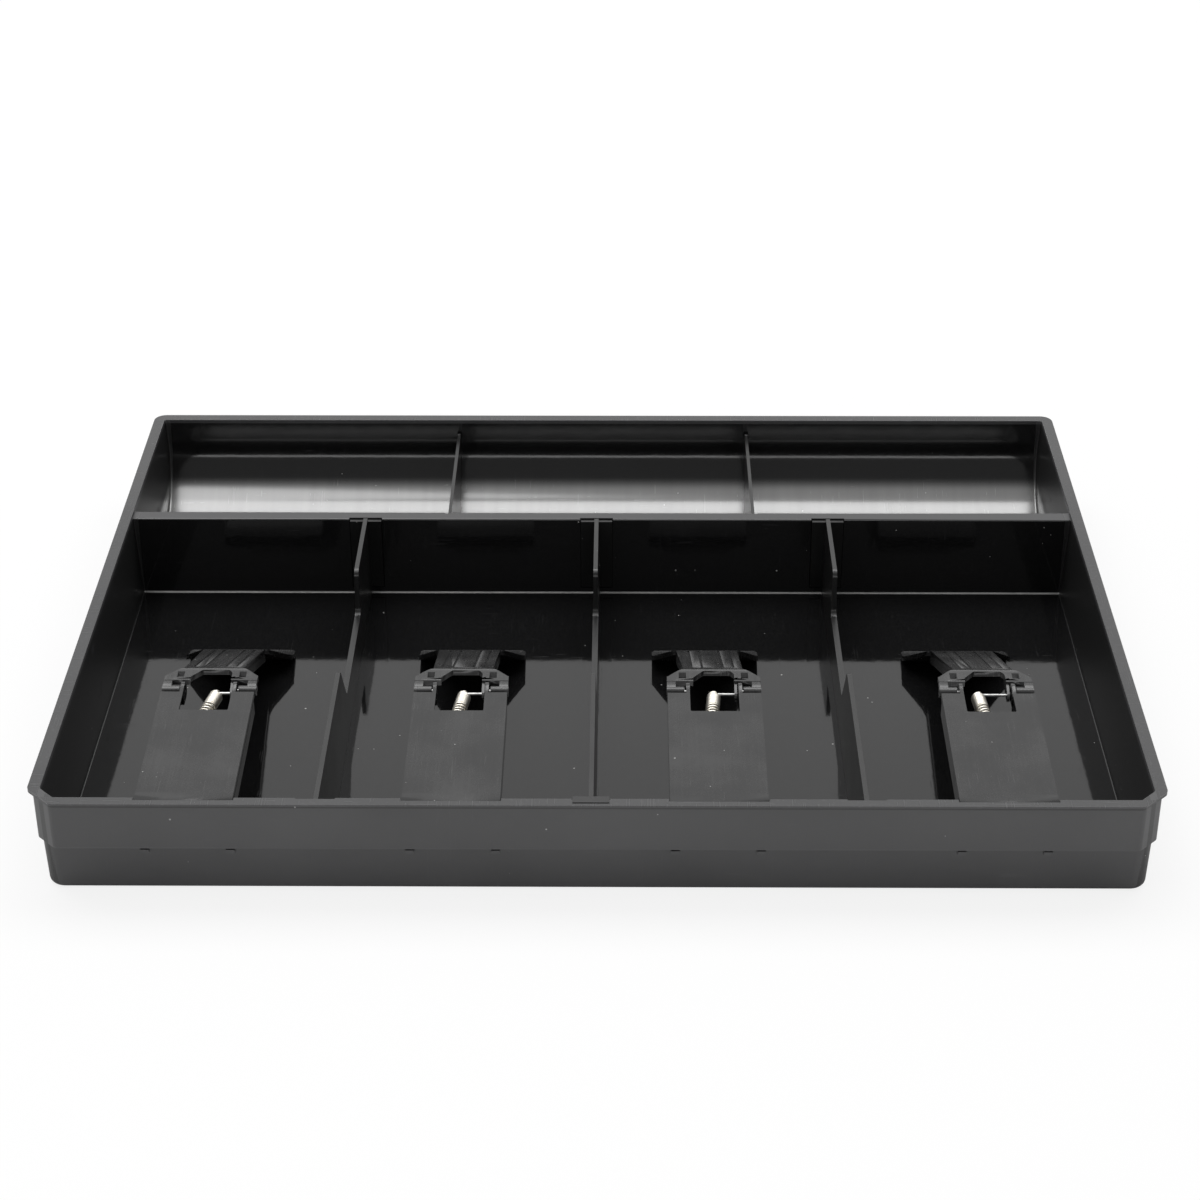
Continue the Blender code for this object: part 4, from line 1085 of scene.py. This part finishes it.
@dataclass
class CoinDivider:
    """Loose plate between two coin cups, shaped to the scoop."""

    tray: TrayMoulding
    drop: float = 0.0053
    top_width: float = 0.0011
    base_width: float = 0.0016
    bead: float = 0.0008
    steps: int = 12

    def build(self, name: str, node: str, x: float, finishes: Finishes) -> bpy.types.Object:
        """Model and dress one divider.

        Args:
            name: Name of the piece.
            node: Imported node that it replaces.
            x: Place across the tray.
            finishes: Materials.

        Returns:
            The finished piece.
        """
        tray = self.tray
        base = tray.floor + GAP
        top = tray.rim - self.drop
        rear = tray.half_depth - tray.land - tray.inner_draft / 2 - GAP
        radius = tray.scoop_round
        stations = []
        front_radius = tray.cup_front_round
        for step in range(6):
            turn = math.pi / 2 * step / 5
            y = tray.wall_rear + GAP + front_radius * (1 - math.cos(turn))
            stations.append((y, base + front_radius * (1 - math.sin(turn)), top))
        for step in range(self.steps):
            turn = math.pi / 2 * step / self.steps
            y = rear - tray.inner_draft / 2 - radius * (1 - math.sin(turn))
            stations.append((y, base + radius * (1 - math.cos(turn)), top))
        stations.append((rear, base + radius, top))
        half = self.top_width / 2
        plate = make_profile(name, (-half, half), stations)
        with editing(plate):
            pick(plate, Part.VERTEX, lambda place: place.z < base + 0.002)
            stretch((self.base_width / self.top_width, 1, 1), (0, 0, 0))
        join(plate, make_box("front_tongue", (-half, tray.wall_rear - tray.groove_depth + GAP, 0.0092),
                             (half, tray.wall_rear + 0.002, top - TINY)))
        bead_y = tray.half_depth - tray.land - tray.inner_draft / 2 - GAP - self.bead
        bead = make_rod("bead", (0, bead_y, base + radius), (0, bead_y, top + 0.0006), self.bead, 20)
        with editing(bead):
            pick(bead, Part.EDGE, lambda a, b: min(a.z, b.z) > top)
            round_edges(0.0005, 4)
        join(plate, bead)
        soften(plate, 0.00022, 2, 55)
        smooth(plate)
        plate.data.transform(Matrix.Translation((x, 0, 0)))
        dress(plate, finishes.divider)
        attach(plate, node)
        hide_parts(node)
        return plate


@dataclass
class ClipBridge:
    """Fixed half of a clip, drawn round its hinge axis."""

    tray: TrayMoulding
    hinge_y: float = -0.0642
    hinge_z: float = 0.0326
    half: float = 0.014
    thickness: float = 0.0018
    tip_thickness: float = 0.0009
    overlap: float = 0.0014
    setback: float = 0.0038
    rear_level: float = 0.0347
    notch: float = 0.0073
    notch_length: float = 0.013
    finger: float = 0.0011
    knuckle: float = 0.0027
    bore: float = 0.00085
    rail: float = 0.0012
    rail_depth: float = 0.0046
    wall_depth: float = 0.0098
    leg_half: float = 0.0012
    leg: float = 0.0014
    catch: float = 0.0008
    post: float = 0.0008
    post_x: float = -0.0012
    post_y: float = -0.015
    post_drop: float = 0.0016

    def tip(self) -> float:
        """Front end of the plate, from the hinge axis."""
        return self.tray.land - self.tray.half_depth - self.overlap - self.hinge_y

    def top(self, y: float) -> float:
        """Top face of the plate at a distance from the hinge axis."""
        share = (y - self.tip()) / (-self.setback - self.tip())
        return self.tray.rim + (self.rear_level - self.tray.rim) * share - self.hinge_z

    def plate(self) -> bpy.types.Object:
        """Sloping plate with its window notch.

        Returns:
            The plate.
        """
        tray = self.tray
        tip = self.tip()
        inner = tray.land - tray.half_depth + tray.inner_draft + GAP - self.hinge_y
        rear = -self.setback
        stations = [(tip, self.top(tip) - self.tip_thickness, self.top(tip)),
                    (inner, self.top(inner) - self.tip_thickness, self.top(inner)),
                    (inner + GAP, self.top(inner) - self.thickness, self.top(inner + GAP)),
                    (rear, self.top(rear) - self.thickness, self.top(rear))]
        plate = make_profile("bridge_pattern", (-self.half, self.half), stations)
        notch = make_box("window", (-self.notch, -self.notch_length, -0.01), (self.notch, 0.01, 0.01))
        with editing(notch):
            pick(notch, Part.EDGE, lambda a, b: tray.upright(a, b) and a.y < 0)
            round_edges(0.0004, 3)
        cut(plate, notch)
        return plate

    def fingers(self) -> list[bpy.types.Object]:
        """Two hinge fingers with round knuckles.

        Returns:
            Bars and knuckles to join to the plate.
        """
        made = []
        rear = -self.setback
        root = rear * 2
        for side in (-1, 1):
            ends = sorted((side * self.notch, side * (self.notch + self.finger)))
            made.append(make_profile("finger", (ends[0], ends[1]), [
                (root, self.top(root) - self.thickness, self.top(root) - 0.0005),
                (rear, -self.knuckle, self.top(rear)), (0.0, -self.knuckle, self.knuckle)]))
            made.append(make_rod("knuckle", (ends[0], 0, 0), (ends[1], 0, 0), self.knuckle, 40))
            start, stop = -self.notch_length - self.finger, rear - GAP
            made.append(make_profile("window_wall", (ends[0], ends[1]), [
                (start, self.top(start) - self.wall_depth, self.top(start) - self.thickness / 2),
                (root, self.top(start) - self.wall_depth, self.top(root) - self.thickness / 2),
                (stop, -self.knuckle - GAP, self.top(stop) - self.thickness / 2)]))
        return made

    def legs(self) -> list[bpy.types.Object]:
        """Legs with hooks for the front wall, and stiffening rails.

        Returns:
            Pieces to join to the plate.
        """
        tray = self.tray
        level = tray.hook_level - self.hinge_z
        share = (tray.rim - tray.hook_level) / (tray.rim - tray.floor)
        front = tray.land - tray.half_depth + tray.inner_draft * share + GAP - self.hinge_y
        rear = front + self.leg
        made = []
        for side in (-1, 1):
            low, high = side * tray.hook_offset - self.leg_half, side * tray.hook_offset + self.leg_half
            made.append(make_box("leg", (low, front, level - self.catch),
                                 (high, rear, self.top(rear) - self.thickness + GAP)))
            made.append(make_box("hook", (low, tray.slot_end() + GAP - self.hinge_y, level),
                                 (high, front + GAP, level + tray.hook_height)))
            ends = sorted((side * (self.half - self.rail), side * self.half))
            start, stop = front + self.leg / 2, -self.setback - self.thickness
            under = self.thickness - GAP
            made.append(make_profile("rail", (ends[0], ends[1]), [
                (start, self.top(start) - self.thickness - self.rail_depth, self.top(start) - under),
                (stop, self.top(stop) - self.thickness - self.rail_depth, self.top(stop) - under)]))
        place = (self.post_x, self.post_y)
        made.append(make_rod("post", (*place, -self.post_drop - 0.001), (*place, self.top(self.post_y) - 0.001),
                             self.post, 20))
        return made

    def build(self, finishes: Finishes) -> bpy.types.Object:
        """Pattern of the bridge round its hinge axis.

        Args:
            finishes: Materials.

        Returns:
            The pattern, which is copied to each clip.
        """
        body = self.plate()
        join(body, *self.fingers(), *self.legs())
        cut(body, make_rod("bore", (-0.02, 0, 0), (0.02, 0, 0), self.bore, 24))
        soften(body, 0.0002, 2, 45)
        smooth(body, angle=18, weight=100)
        dress(body, finishes.clip)
        return body


@dataclass
class ClipFlap:
    """Hinged half of a clip, drawn round its hinge axis."""

    thickness: float = 0.0018
    rise: float = 0.002
    ear: float = 0.0142
    ear_start: float = 0.0029
    ear_end: float = 0.0056
    ear_taper: float = 0.0005
    bend: float = 0.0094
    arm_start: float = 0.0106
    arm: float = 0.0090
    arm_flare: float = 0.0008
    lean: float = 0.0006
    slope: float = math.radians(24.6)
    reach: float = 0.0532
    foot: float = 0.0173
    foot_slope: float = math.radians(44.8)
    heel: float = 0.0599
    toe: float = 0.0688
    toe_level: float = 0.0027
    hinge_z: float = 0.0326
    barrel: float = 0.0016
    barrel_length: float = 0.0053
    bore: float = 0.00085
    window: float = 0.0062
    window_end: float = 0.0087
    window_left: float = 0.0030
    window_left_end: float = 0.0048
    window_right: float = 0.0050
    window_right_end: float = 0.0070
    hole: float = 0.0011
    hole_length: float = 0.0032
    hole_x: float = 0.0094
    hole_y: float = 0.0061
    lug: float = 0.0027
    rib: float = 0.0011
    rib_depth: float = 0.003
    cheek: float = 0.0008
    cheek_outer: float = 0.007
    cheek_front: float = 0.0015
    cheek_depth: float = 0.0028
    pin_y: float = 0.0003
    pin_drop: float = 0.0012
    pin: float = 0.00045
    groove_depth: float = 0.0003
    grooves: tuple[float, ...] = (-0.0064, -0.0032, 0.0032, 0.0064)

    def fall(self, y: float) -> float:
        """Drop of the sloping arm below the flat part at a distance from the hinge."""
        return max(y - self.bend, 0.0) * math.tan(self.slope)

    def path(self) -> list[Point]:
        """Stations of the strip: Y, Z of its top, and half width.

        Returns:
            The stations, from the ears to the toe.
        """
        ear_end = self.ear - self.ear_taper
        share = (self.bend - self.ear_end) / (self.arm_start - self.ear_end)
        wide = self.arm + self.arm_flare
        crest = self.rise - self.fall(self.reach)
        heel = crest - (self.heel - self.reach) * math.tan(self.foot_slope)
        toe = self.toe_level + self.thickness - self.hinge_z
        middle = (self.heel + self.toe) / 2
        return [(self.ear_start, self.rise, self.ear), (self.ear_end, self.rise, ear_end),
                (self.bend, self.rise, ear_end + (self.arm - ear_end) * share),
                (self.arm_start, self.rise - self.fall(self.arm_start), self.arm),
                (self.reach, crest, wide), (self.heel, heel, self.foot),
                (middle, (heel + toe) / 2 - (heel - toe) / 5, self.foot),
                (self.toe - self.thickness / 2, toe, self.foot),
                (self.toe, toe, self.foot - self.thickness / 2)]

    def strip(self) -> bpy.types.Object:
        """Bent strip, extruded station by station.

        Returns:
            The strip without its openings.
        """
        path = self.path()
        start, second = path[0], path[1]
        strip = make_box("flap_pattern", (-start[2], start[0], start[1] - self.thickness),
                         (start[2], second[0], second[1]))
        with editing(strip):
            pick(strip, Part.FACE, lambda middle, normal: normal.y > 0.5)
            stretch((second[2] / start[2], 1, 1), (0, 0, 0))
            for before, after in zip(path[1:], path[2:]):
                offset = (0, after[0] - before[0], after[1] - before[1])
                bpy.ops.mesh.extrude_region_move(TRANSFORM_OT_translate={"value": offset})
                stretch((after[2] / before[2], 1, 1), (0, 0, 0))
            pick(strip, Part.VERTEX, lambda place: place.y > self.reach - TINY)
            shift((-self.lean, 0, 0))
            for y, radius in ((self.bend, 0.0011), (self.reach, 0.002), (self.heel, 0.003)):
                pick(strip, Part.EDGE, lambda a, b: near(a.y, y) and near(b.y, y) and near(a.z, b.z))
                round_edges(radius, 4)
        return strip

    def openings(self) -> list[bpy.types.Object]:
        """Cutters for the window, the square holes and the grooves.

        Returns:
            The cutters.
        """
        window = make_box("window", (-self.window, -0.002, -0.01), (self.window, self.window_end, 0.01))
        with editing(window):
            for y in (self.window_left_end, self.window_right_end):
                bpy.ops.mesh.select_all(action="SELECT")
                bpy.ops.mesh.bisect(plane_co=(0, y, 0), plane_no=(0, 1, 0))
            pick(window, Part.VERTEX, lambda place: near(place.y, self.window_end) and place.x < 0)
            shift((self.window - self.window_left, 0, 0))
            pick(window, Part.VERTEX, lambda place: near(place.y, self.window_end) and place.x > 0)
            shift((self.window_right - self.window, 0, 0))
            share = (self.window_right_end - self.window_left_end) / (self.window_end - self.window_left_end)
            pick(window, Part.VERTEX, lambda place: near(place.y, self.window_right_end) and place.x < 0)
            shift(((self.window - self.window_left) * share, 0, 0))
            pick(window, Part.EDGE, lambda a, b: TrayMoulding.upright(a, b) and a.y > 0)
            round_edges(0.0004, 3)
        made = [window]
        for side in (-1, 1):
            x = side * self.hole_x
            made.append(make_box("square_hole", (x - self.hole, self.hole_y - self.hole_length / 2, -0.01),
                                 (x + self.hole, self.hole_y + self.hole_length / 2, 0.01)))
        for x in self.grooves:
            start, stop = self.bend + 0.004, self.reach - 0.003
            made.append(make_profile("groove", (x - 0.00035, x + 0.00035), [
                (start, self.rise - self.fall(start) - 0.00002, self.rise + 0.001 - self.fall(start)),
                (start + 0.001, self.rise - self.fall(start + 0.001) - self.groove_depth,
                 self.rise + 0.001 - self.fall(start)),
                (stop, self.rise - self.fall(stop) - self.groove_depth, self.rise + 0.001 - self.fall(stop))]))
        return made

    def additions(self) -> list[bpy.types.Object]:
        """Barrels, lugs, cheek and ribs.

        Returns:
            Pieces to join to the strip.
        """
        under = self.rise - self.thickness
        made = [make_profile("cheek", (self.cheek_outer - self.cheek, self.cheek_outer), [
            (-self.cheek_front, -self.cheek_depth + 0.0006, -0.0004),
            (-self.cheek_front + 0.0005, -self.cheek_depth, 0.0),
            (self.ear_start, -self.cheek_depth, self.rise - 0.0008),
            (self.window_end, under - 0.0004, self.rise - 0.0008)])]
        for side in (-1, 1):
            barrel = sorted((side * (self.ear - self.barrel_length), side * self.ear))
            made.append(make_rod("barrel", (barrel[0], 0, 0), (barrel[1], 0, 0), self.barrel, 32))
            lug = sorted((side * (self.ear - self.lug), side * (self.ear - 0.0001)))
            made.append(make_profile("lug", (lug[0], lug[1]), [
                (-0.0001, 0.0, self.barrel - 0.0001), (0.0012, under + 0.0001, self.rise - 0.0001),
                (self.ear_end, under + 0.0001, self.rise - 0.0001)]))
            made.append(self.arm_rib(side))
        return made

    def arm_rib(self, side: int) -> bpy.types.Object:
        """Rib under one edge of the sloping arm.

        Args:
            side: -1 for the left edge and 1 for the right.

        Returns:
            The rib.
        """
        start, stop = self.arm_start + self.thickness, self.reach
        outer = side * (self.arm - 0.00015)
        ends = sorted((outer - side * self.rib, outer))
        top = self.rise - self.thickness * 0.6
        bottom = self.rise - self.thickness - self.rib_depth
        rib = make_profile("rib", (ends[0], ends[1]), [
            (start, bottom - self.fall(start), top - self.fall(start)),
            (stop, bottom - self.fall(stop), top - self.fall(stop))])
        with editing(rib):
            pick(rib, Part.VERTEX, lambda place: near(place.y, stop))
            shift((side * self.arm_flare - self.lean, 0, 0))
        return rib

    def build(self, finishes: Finishes) -> bpy.types.Object:
        """Pattern of the flap round its hinge axis.

        Args:
            finishes: Materials.

        Returns:
            The pattern, which is copied to each clip.
        """
        flap = self.strip()
        cut(flap, *self.openings())
        join(flap, *self.additions())
        for side in (-1, 1):
            ends = sorted((side * 0.0074, side * 0.02))
            cut(flap, make_rod("bore", (ends[0], 0, 0), (ends[1], 0, 0), self.bore, 24))
        cut(flap, make_rod("pin_hole", (0.005, self.pin_y, -self.pin_drop), (0.0072, self.pin_y, -self.pin_drop),
                           self.pin + 0.0001, 20))
        soften(flap, 0.00018, 2, 48)
        smooth(flap, angle=18, weight=100)
        dress(flap, finishes.flap)
        return flap


@dataclass
class ClipSpring:
    """Close-wound extension spring between the bridge's post and the pin in the flap."""

    bridge: ClipBridge
    flap: ClipFlap
    wire: float = 0.00025
    radius: float = 0.0019
    pitch: float = 0.00053
    turns: int = 11
    open_turns: int = 3
    open_pitch: float = 0.0013
    per_turn: int = 16
    setback: float = 0.0014
    hook_turn: float = math.radians(215.0)

    def points(self, rear_x: float) -> list[Vector]:
        """Middle line of the wire, from the pin to the post.

        Args:
            rear_x: Where on the pin the rear hook sits.

        Returns:
            Points round the hinge axis.
        """
        bridge, flap = self.bridge, self.flap
        pin = Vector((rear_x, flap.pin_y, -flap.pin_drop))
        post = Vector((bridge.post_x, bridge.post_y, -bridge.post_drop))
        axis = (post - pin).normalized()
        across = axis.cross(Vector((0, 0, 1))).normalized()
        if across.x < 0:
            across = -across
        up = (Vector((0, 0, 1)) - axis * axis.z).normalized()
        pin_hook = flap.pin + self.wire + 0.00005
        post_hook = bridge.post + self.wire + 0.00005
        steps = 14
        line = [pin + (up * math.cos(self.hook_turn * step / steps)
                       - axis * math.sin(self.hook_turn * step / steps)) * pin_hook
                for step in range(steps, -1, -1)]
        first = math.pi / 2
        loosened = 2 * math.pi * self.turns
        last = 2 * math.pi * (self.turns + self.open_turns) + math.pi
        count = round((last - first) / (2 * math.pi) * self.per_turn)
        coil = []
        for step in range(count + 1):
            turn = first + (last - first) * step / count
            around = across * math.cos(turn) + up * math.sin(turn)
            along = self.setback + self.pitch * (turn - first) / (2 * math.pi)
            along += (self.open_pitch - self.pitch) * max(turn - loosened, 0.0) / (2 * math.pi)
            coil.append(pin + axis * along + around * self.radius)
        way_in = (coil[1] - coil[0]).normalized() * self.radius * 2
        way_out = (coil[-1] - coil[-2]).normalized() * self.radius * 2.5
        line += self.bend(line[-1], axis * self.radius * 2, coil[0], way_in, 6) + coil
        ring = post - across * post_hook
        line += self.bend(coil[-1], way_out, ring, axis * self.radius * 4, 8)
        line += [post + (axis * math.sin(self.hook_turn * step / steps)
                         - across * math.cos(self.hook_turn * step / steps)) * post_hook
                 for step in range(steps + 1)]
        return line

    @staticmethod
    def bend(start: Vector, pull: Vector, end: Vector, end_pull: Vector, count: int) -> list[Vector]:
        """Points of a cubic between two places.

        Args:
            start: First place, which is left out.
            pull: Direction and speed at the start.
            end: Last place, which is left out.
            end_pull: Direction and speed at the end.
            count: Number of points between.

        Returns:
            The points.
        """
        made = []
        for step in range(1, count + 1):
            share = step / (count + 1)
            square, cube = share ** 2, share ** 3
            made.append(start * (2 * cube - 3 * square + 1) + pull * (cube - 2 * square + share)
                        + end * (3 * square - 2 * cube) + end_pull * (cube - square))
        return made

    def build(self, name: str, rear_x: float, place: Point, finishes: Finishes) -> bpy.types.Object:
        """Model and dress one spring.

        Args:
            name: Name of the piece.
            rear_x: Where on the pin the rear hook sits.
            place: Hinge axis of its clip.
            finishes: Materials.

        Returns:
            The finished piece.
        """
        curve = bpy.data.curves.new(name, "CURVE")
        curve.dimensions = "3D"
        curve.bevel_depth = self.wire
        curve.bevel_resolution = 2
        curve.use_fill_caps = True
        spline = curve.splines.new("POLY")
        points = self.points(rear_x)
        spline.points.add(len(points) - 1)
        for target, point in zip(spline.points, points):
            target.co = (*(point + Vector(place)), 1.0)
        spring = bpy.data.objects.new(name, curve)
        bpy.context.scene.collection.objects.link(spring)
        select_only(spring)
        bpy.ops.object.convert(target="MESH")
        spring = bpy.context.active_object
        bpy.ops.object.shade_smooth()
        dress(spring, finishes.spring)
        return spring


@dataclass
class Clips:
    """The four bill clips."""

    tray: TrayMoulding
    bridge: ClipBridge
    flap: ClipFlap
    spring: ClipSpring
    rear_xs: tuple[float, ...] = (0.0024, 0.0011, 0.0001, -0.0027)

    def build(self, finishes: Finishes) -> list[bpy.types.Object]:
        """Model, dress and mount every clip.

        Args:
            finishes: Materials.

        Returns:
            The finished pieces.
        """
        bridge = self.bridge.build(finishes)
        flap = self.flap.build(finishes)
        made = []
        for number, (x, rear_x) in enumerate(zip(self.tray.clips, self.rear_xs), start=1):
            place = (x, self.bridge.hinge_y, self.bridge.hinge_z)
            arm = f"clip_{number}_arm"
            fixed = copy_to(bridge, f"bill_clip_{number}_bridge", place)
            self.mount(fixed, "tray", f"clip_{number}_bridge", "black_clip_plastic")
            moving = copy_to(flap, f"bill_clip_{number}_flap", place)
            self.mount(moving, arm, f"clip_{number}_flap", "black_clip_plastic")
            stub = self.stub(f"bill_clip_{number}_spring_pin", rear_x, place, finishes)
            self.mount(stub, arm, f"clip_{number}_spring_pin", "pin_steel")
            wire = self.spring.build(f"bill_clip_{number}_spring", rear_x, place, finishes)
            self.stretch_spring(wire, number)
            made += [fixed, moving, stub, wire]
        for pattern in (bridge, flap):
            bpy.data.objects.remove(pattern, do_unlink=True)
        return made

    def stub(self, name: str, rear_x: float, place: Point, finishes: Finishes) -> bpy.types.Object:
        """Pin that the spring pulls on, with rounded ends.

        Args:
            name: Name of the piece.
            rear_x: Where on the pin the spring sits.
            place: Hinge axis of its clip.
            finishes: Materials.

        Returns:
            The finished pin.
        """
        flap = self.flap
        level = (flap.pin_y, -flap.pin_drop)
        pin = make_rod(name, (rear_x - 0.0007, *level), (flap.cheek_outer, *level), flap.pin, 28)
        soften(pin, 0.00012, 3)
        smooth(pin)
        pin.data.transform(Matrix.Translation(place))
        dress(pin, finishes.pin)
        return pin

    @staticmethod
    def mount(piece: bpy.types.Object, body: str, node: str, slot: str) -> None:
        """Let a piece ride on a body and stand for a node."""
        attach(piece, body)
        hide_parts(node)

    def stretch_spring(self, wire: bpy.types.Object, number: int) -> None:
        """Keep a spring where it is built and let it stand for its imported node."""
        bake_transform(wire)
        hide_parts(f"clip_{number}_spring")


@dataclass
class Studio:
    """Camera, white floor and soft light."""

    lens: float = 77.925
    place: Point = (0.007285, -0.7233, 0.455303)
    pitch: float = 0.535
    yaw: float = -0.010
    roll: float = -0.003
    room_light: float = 0.38
    side_light: float = 0.26
    front_light: float = 0.30
    floor_glow: float = 0.83

    def camera(self) -> None:
        """Camera at the photograph's place."""
        forward = Vector((math.sin(self.yaw) * math.cos(self.pitch),
                          math.cos(self.yaw) * math.cos(self.pitch), -math.sin(self.pitch)))
        right = forward.cross(Vector((0, 0, 1))).normalized()
        up = right.cross(forward)
        level_right = right * math.cos(self.roll) + up * math.sin(self.roll)
        level_up = up * math.cos(self.roll) - right * math.sin(self.roll)
        camera = bpy.data.objects.new("camera", bpy.data.cameras.new("camera"))
        camera.data.lens = self.lens
        camera.data.sensor_width = 36
        camera.data.clip_end = 20
        turn = Matrix((level_right, level_up, -forward)).transposed()
        camera.matrix_world = Matrix.Translation(self.place) @ turn.to_4x4()
        bpy.context.scene.collection.objects.link(camera)
        bpy.context.scene.camera = camera

    def floor(self) -> None:
        """White floor that shows the tray's soft shadow."""
        bpy.ops.object.select_all(action="DESELECT")
        bpy.ops.mesh.primitive_plane_add(size=12, location=(0, 0, -0.0001))
        floor = bpy.context.active_object
        floor.name = "studio_floor"
        material, desk = ShaderDesk.material("white_floor")
        desk.shader.inputs["Base Color"].default_value = (0.86, 0.86, 0.86, 1)
        desk.shader.inputs["Roughness"].default_value = 0.75
        desk.shader.inputs["Specular IOR Level"].default_value = 0.2
        path = desk.node("ShaderNodeLightPath")
        glow = desk.node("ShaderNodeEmission", inputs={"Color": (1, 1, 1, 1), "Strength": 1.0})
        share = Signal(desk, path.outputs["Is Camera Ray"]) * self.floor_glow
        mix = desk.node("ShaderNodeMixShader", inputs={
            "Fac": share, 1: Signal(desk, desk.shader.outputs[0]), 2: Signal(desk, glow.outputs[0])})
        output = desk.tree.nodes["Material Output"]
        desk.tree.links.new(mix.outputs[0], output.inputs["Surface"])
        dress(floor, material)

    def lamps(self) -> None:
        """Soft lamps: a wide one behind the tray, one over its left half, and a low one in front."""
        for name, place, size, power, turn in (
                ("rear_softbox", (0.0, 0.72, 1.76), (3.0, 1.0), 35.0, (math.radians(-22), 0, 0)),
                ("left_softbox", (-0.64, -0.185, 2.0), (0.95, 0.9), 7.1, (0, 0, math.radians(54))),
                ("front_fill", (0.0, -1.1, 0.17), (1.4, 0.30), 3.0, (math.radians(82), 0, 0))):
            lamp = bpy.data.lights.new(name, "AREA")
            lamp.shape = "RECTANGLE"
            lamp.size, lamp.size_y = size
            lamp.energy = power
            holder = bpy.data.objects.new(name, lamp)
            holder.location = place
            holder.rotation_euler = turn
            bpy.context.scene.collection.objects.link(holder)

    def surroundings(self) -> None:
        """White room with darker sides: full white to the camera, softer as a light."""
        world = bpy.data.worlds.new("white_room")
        world.use_nodes = True
        desk = ShaderDesk.of_tree(world.node_tree)
        direction = desk.node("ShaderNodeTexCoord")
        split = desk.node("ShaderNodeSeparateXYZ", inputs={"Vector": Signal(desk, direction.outputs["Generated"])})
        middle = abs(Signal(desk, split.outputs["X"])).ramp(0.85, 0.45)
        front = Signal(desk, split.outputs["Y"]).ramp(-0.30, -0.65)
        path = desk.node("ShaderNodeLightPath")
        seen = Signal(desk, path.outputs["Is Camera Ray"])
        mirrored = Signal(desk, path.outputs["Is Glossy Ray"]).either(
            Signal(desk, path.outputs["Is Transmission Ray"]))
        shade = (self.side_light + middle * (1 - self.side_light)) * (1 - front * (1 - self.front_light))
        light = self.room_light + mirrored * (shade - self.room_light)
        strength = light + seen * (1 - light)
        room = desk.node("ShaderNodeBackground", inputs={"Color": (1, 1, 1, 1), "Strength": strength})
        output = desk.node("ShaderNodeOutputWorld")
        desk.tree.links.new(room.outputs[0], output.inputs["Surface"])
        bpy.context.scene.world = world

    def build(self) -> None:
        """Set up the whole studio."""
        self.camera()
        self.floor()
        self.lamps()
        self.surroundings()
        bpy.context.scene.view_settings.view_transform = "Standard"


def dress_hinge_pins(nodes: dict[str, bpy.types.Object], finishes: Finishes) -> None:
    """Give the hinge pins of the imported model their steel.

    Args:
        nodes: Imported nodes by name.
        finishes: Materials.
    """
    for name, node in nodes.items():
        if "hinge_pin" in name:
            dress(node, finishes.pin)
            LOG.info("dressed %s", name)


def main() -> None:
    """Build the dressed tray and its studio."""
    logging.basicConfig(level=logging.INFO, format="%(name)s: %(message)s")
    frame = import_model()
    Studio().build()
    finishes = Finishes.build()
    tray = TrayMoulding()
    LOG.info("made %s", tray.build(finishes).name)
    divider = BillDivider(tray)
    for word, x in zip(("left", "centre", "right"), tray.bill_dividers):
        made = divider.build(f"bill_well_divider_{word}", f"bill_divider_{word}", x, word == "centre", finishes)
        LOG.info("made %s", made.name)
    plate = CoinDivider(tray)
    for word, x in zip(("left", "right"), tray.coin_dividers):
        LOG.info("made %s", plate.build(f"coin_cup_divider_{word}", f"coin_divider_{word}", x, finishes).name)
    bridge = ClipBridge(tray)
    flap = ClipFlap()
    for made in Clips(tray, bridge, flap, ClipSpring(bridge, flap)).build(finishes):
        LOG.info("made %s", made.name)
    dress_hinge_pins(frame["nodes"], finishes)


if __name__ == "__main__":
    main()
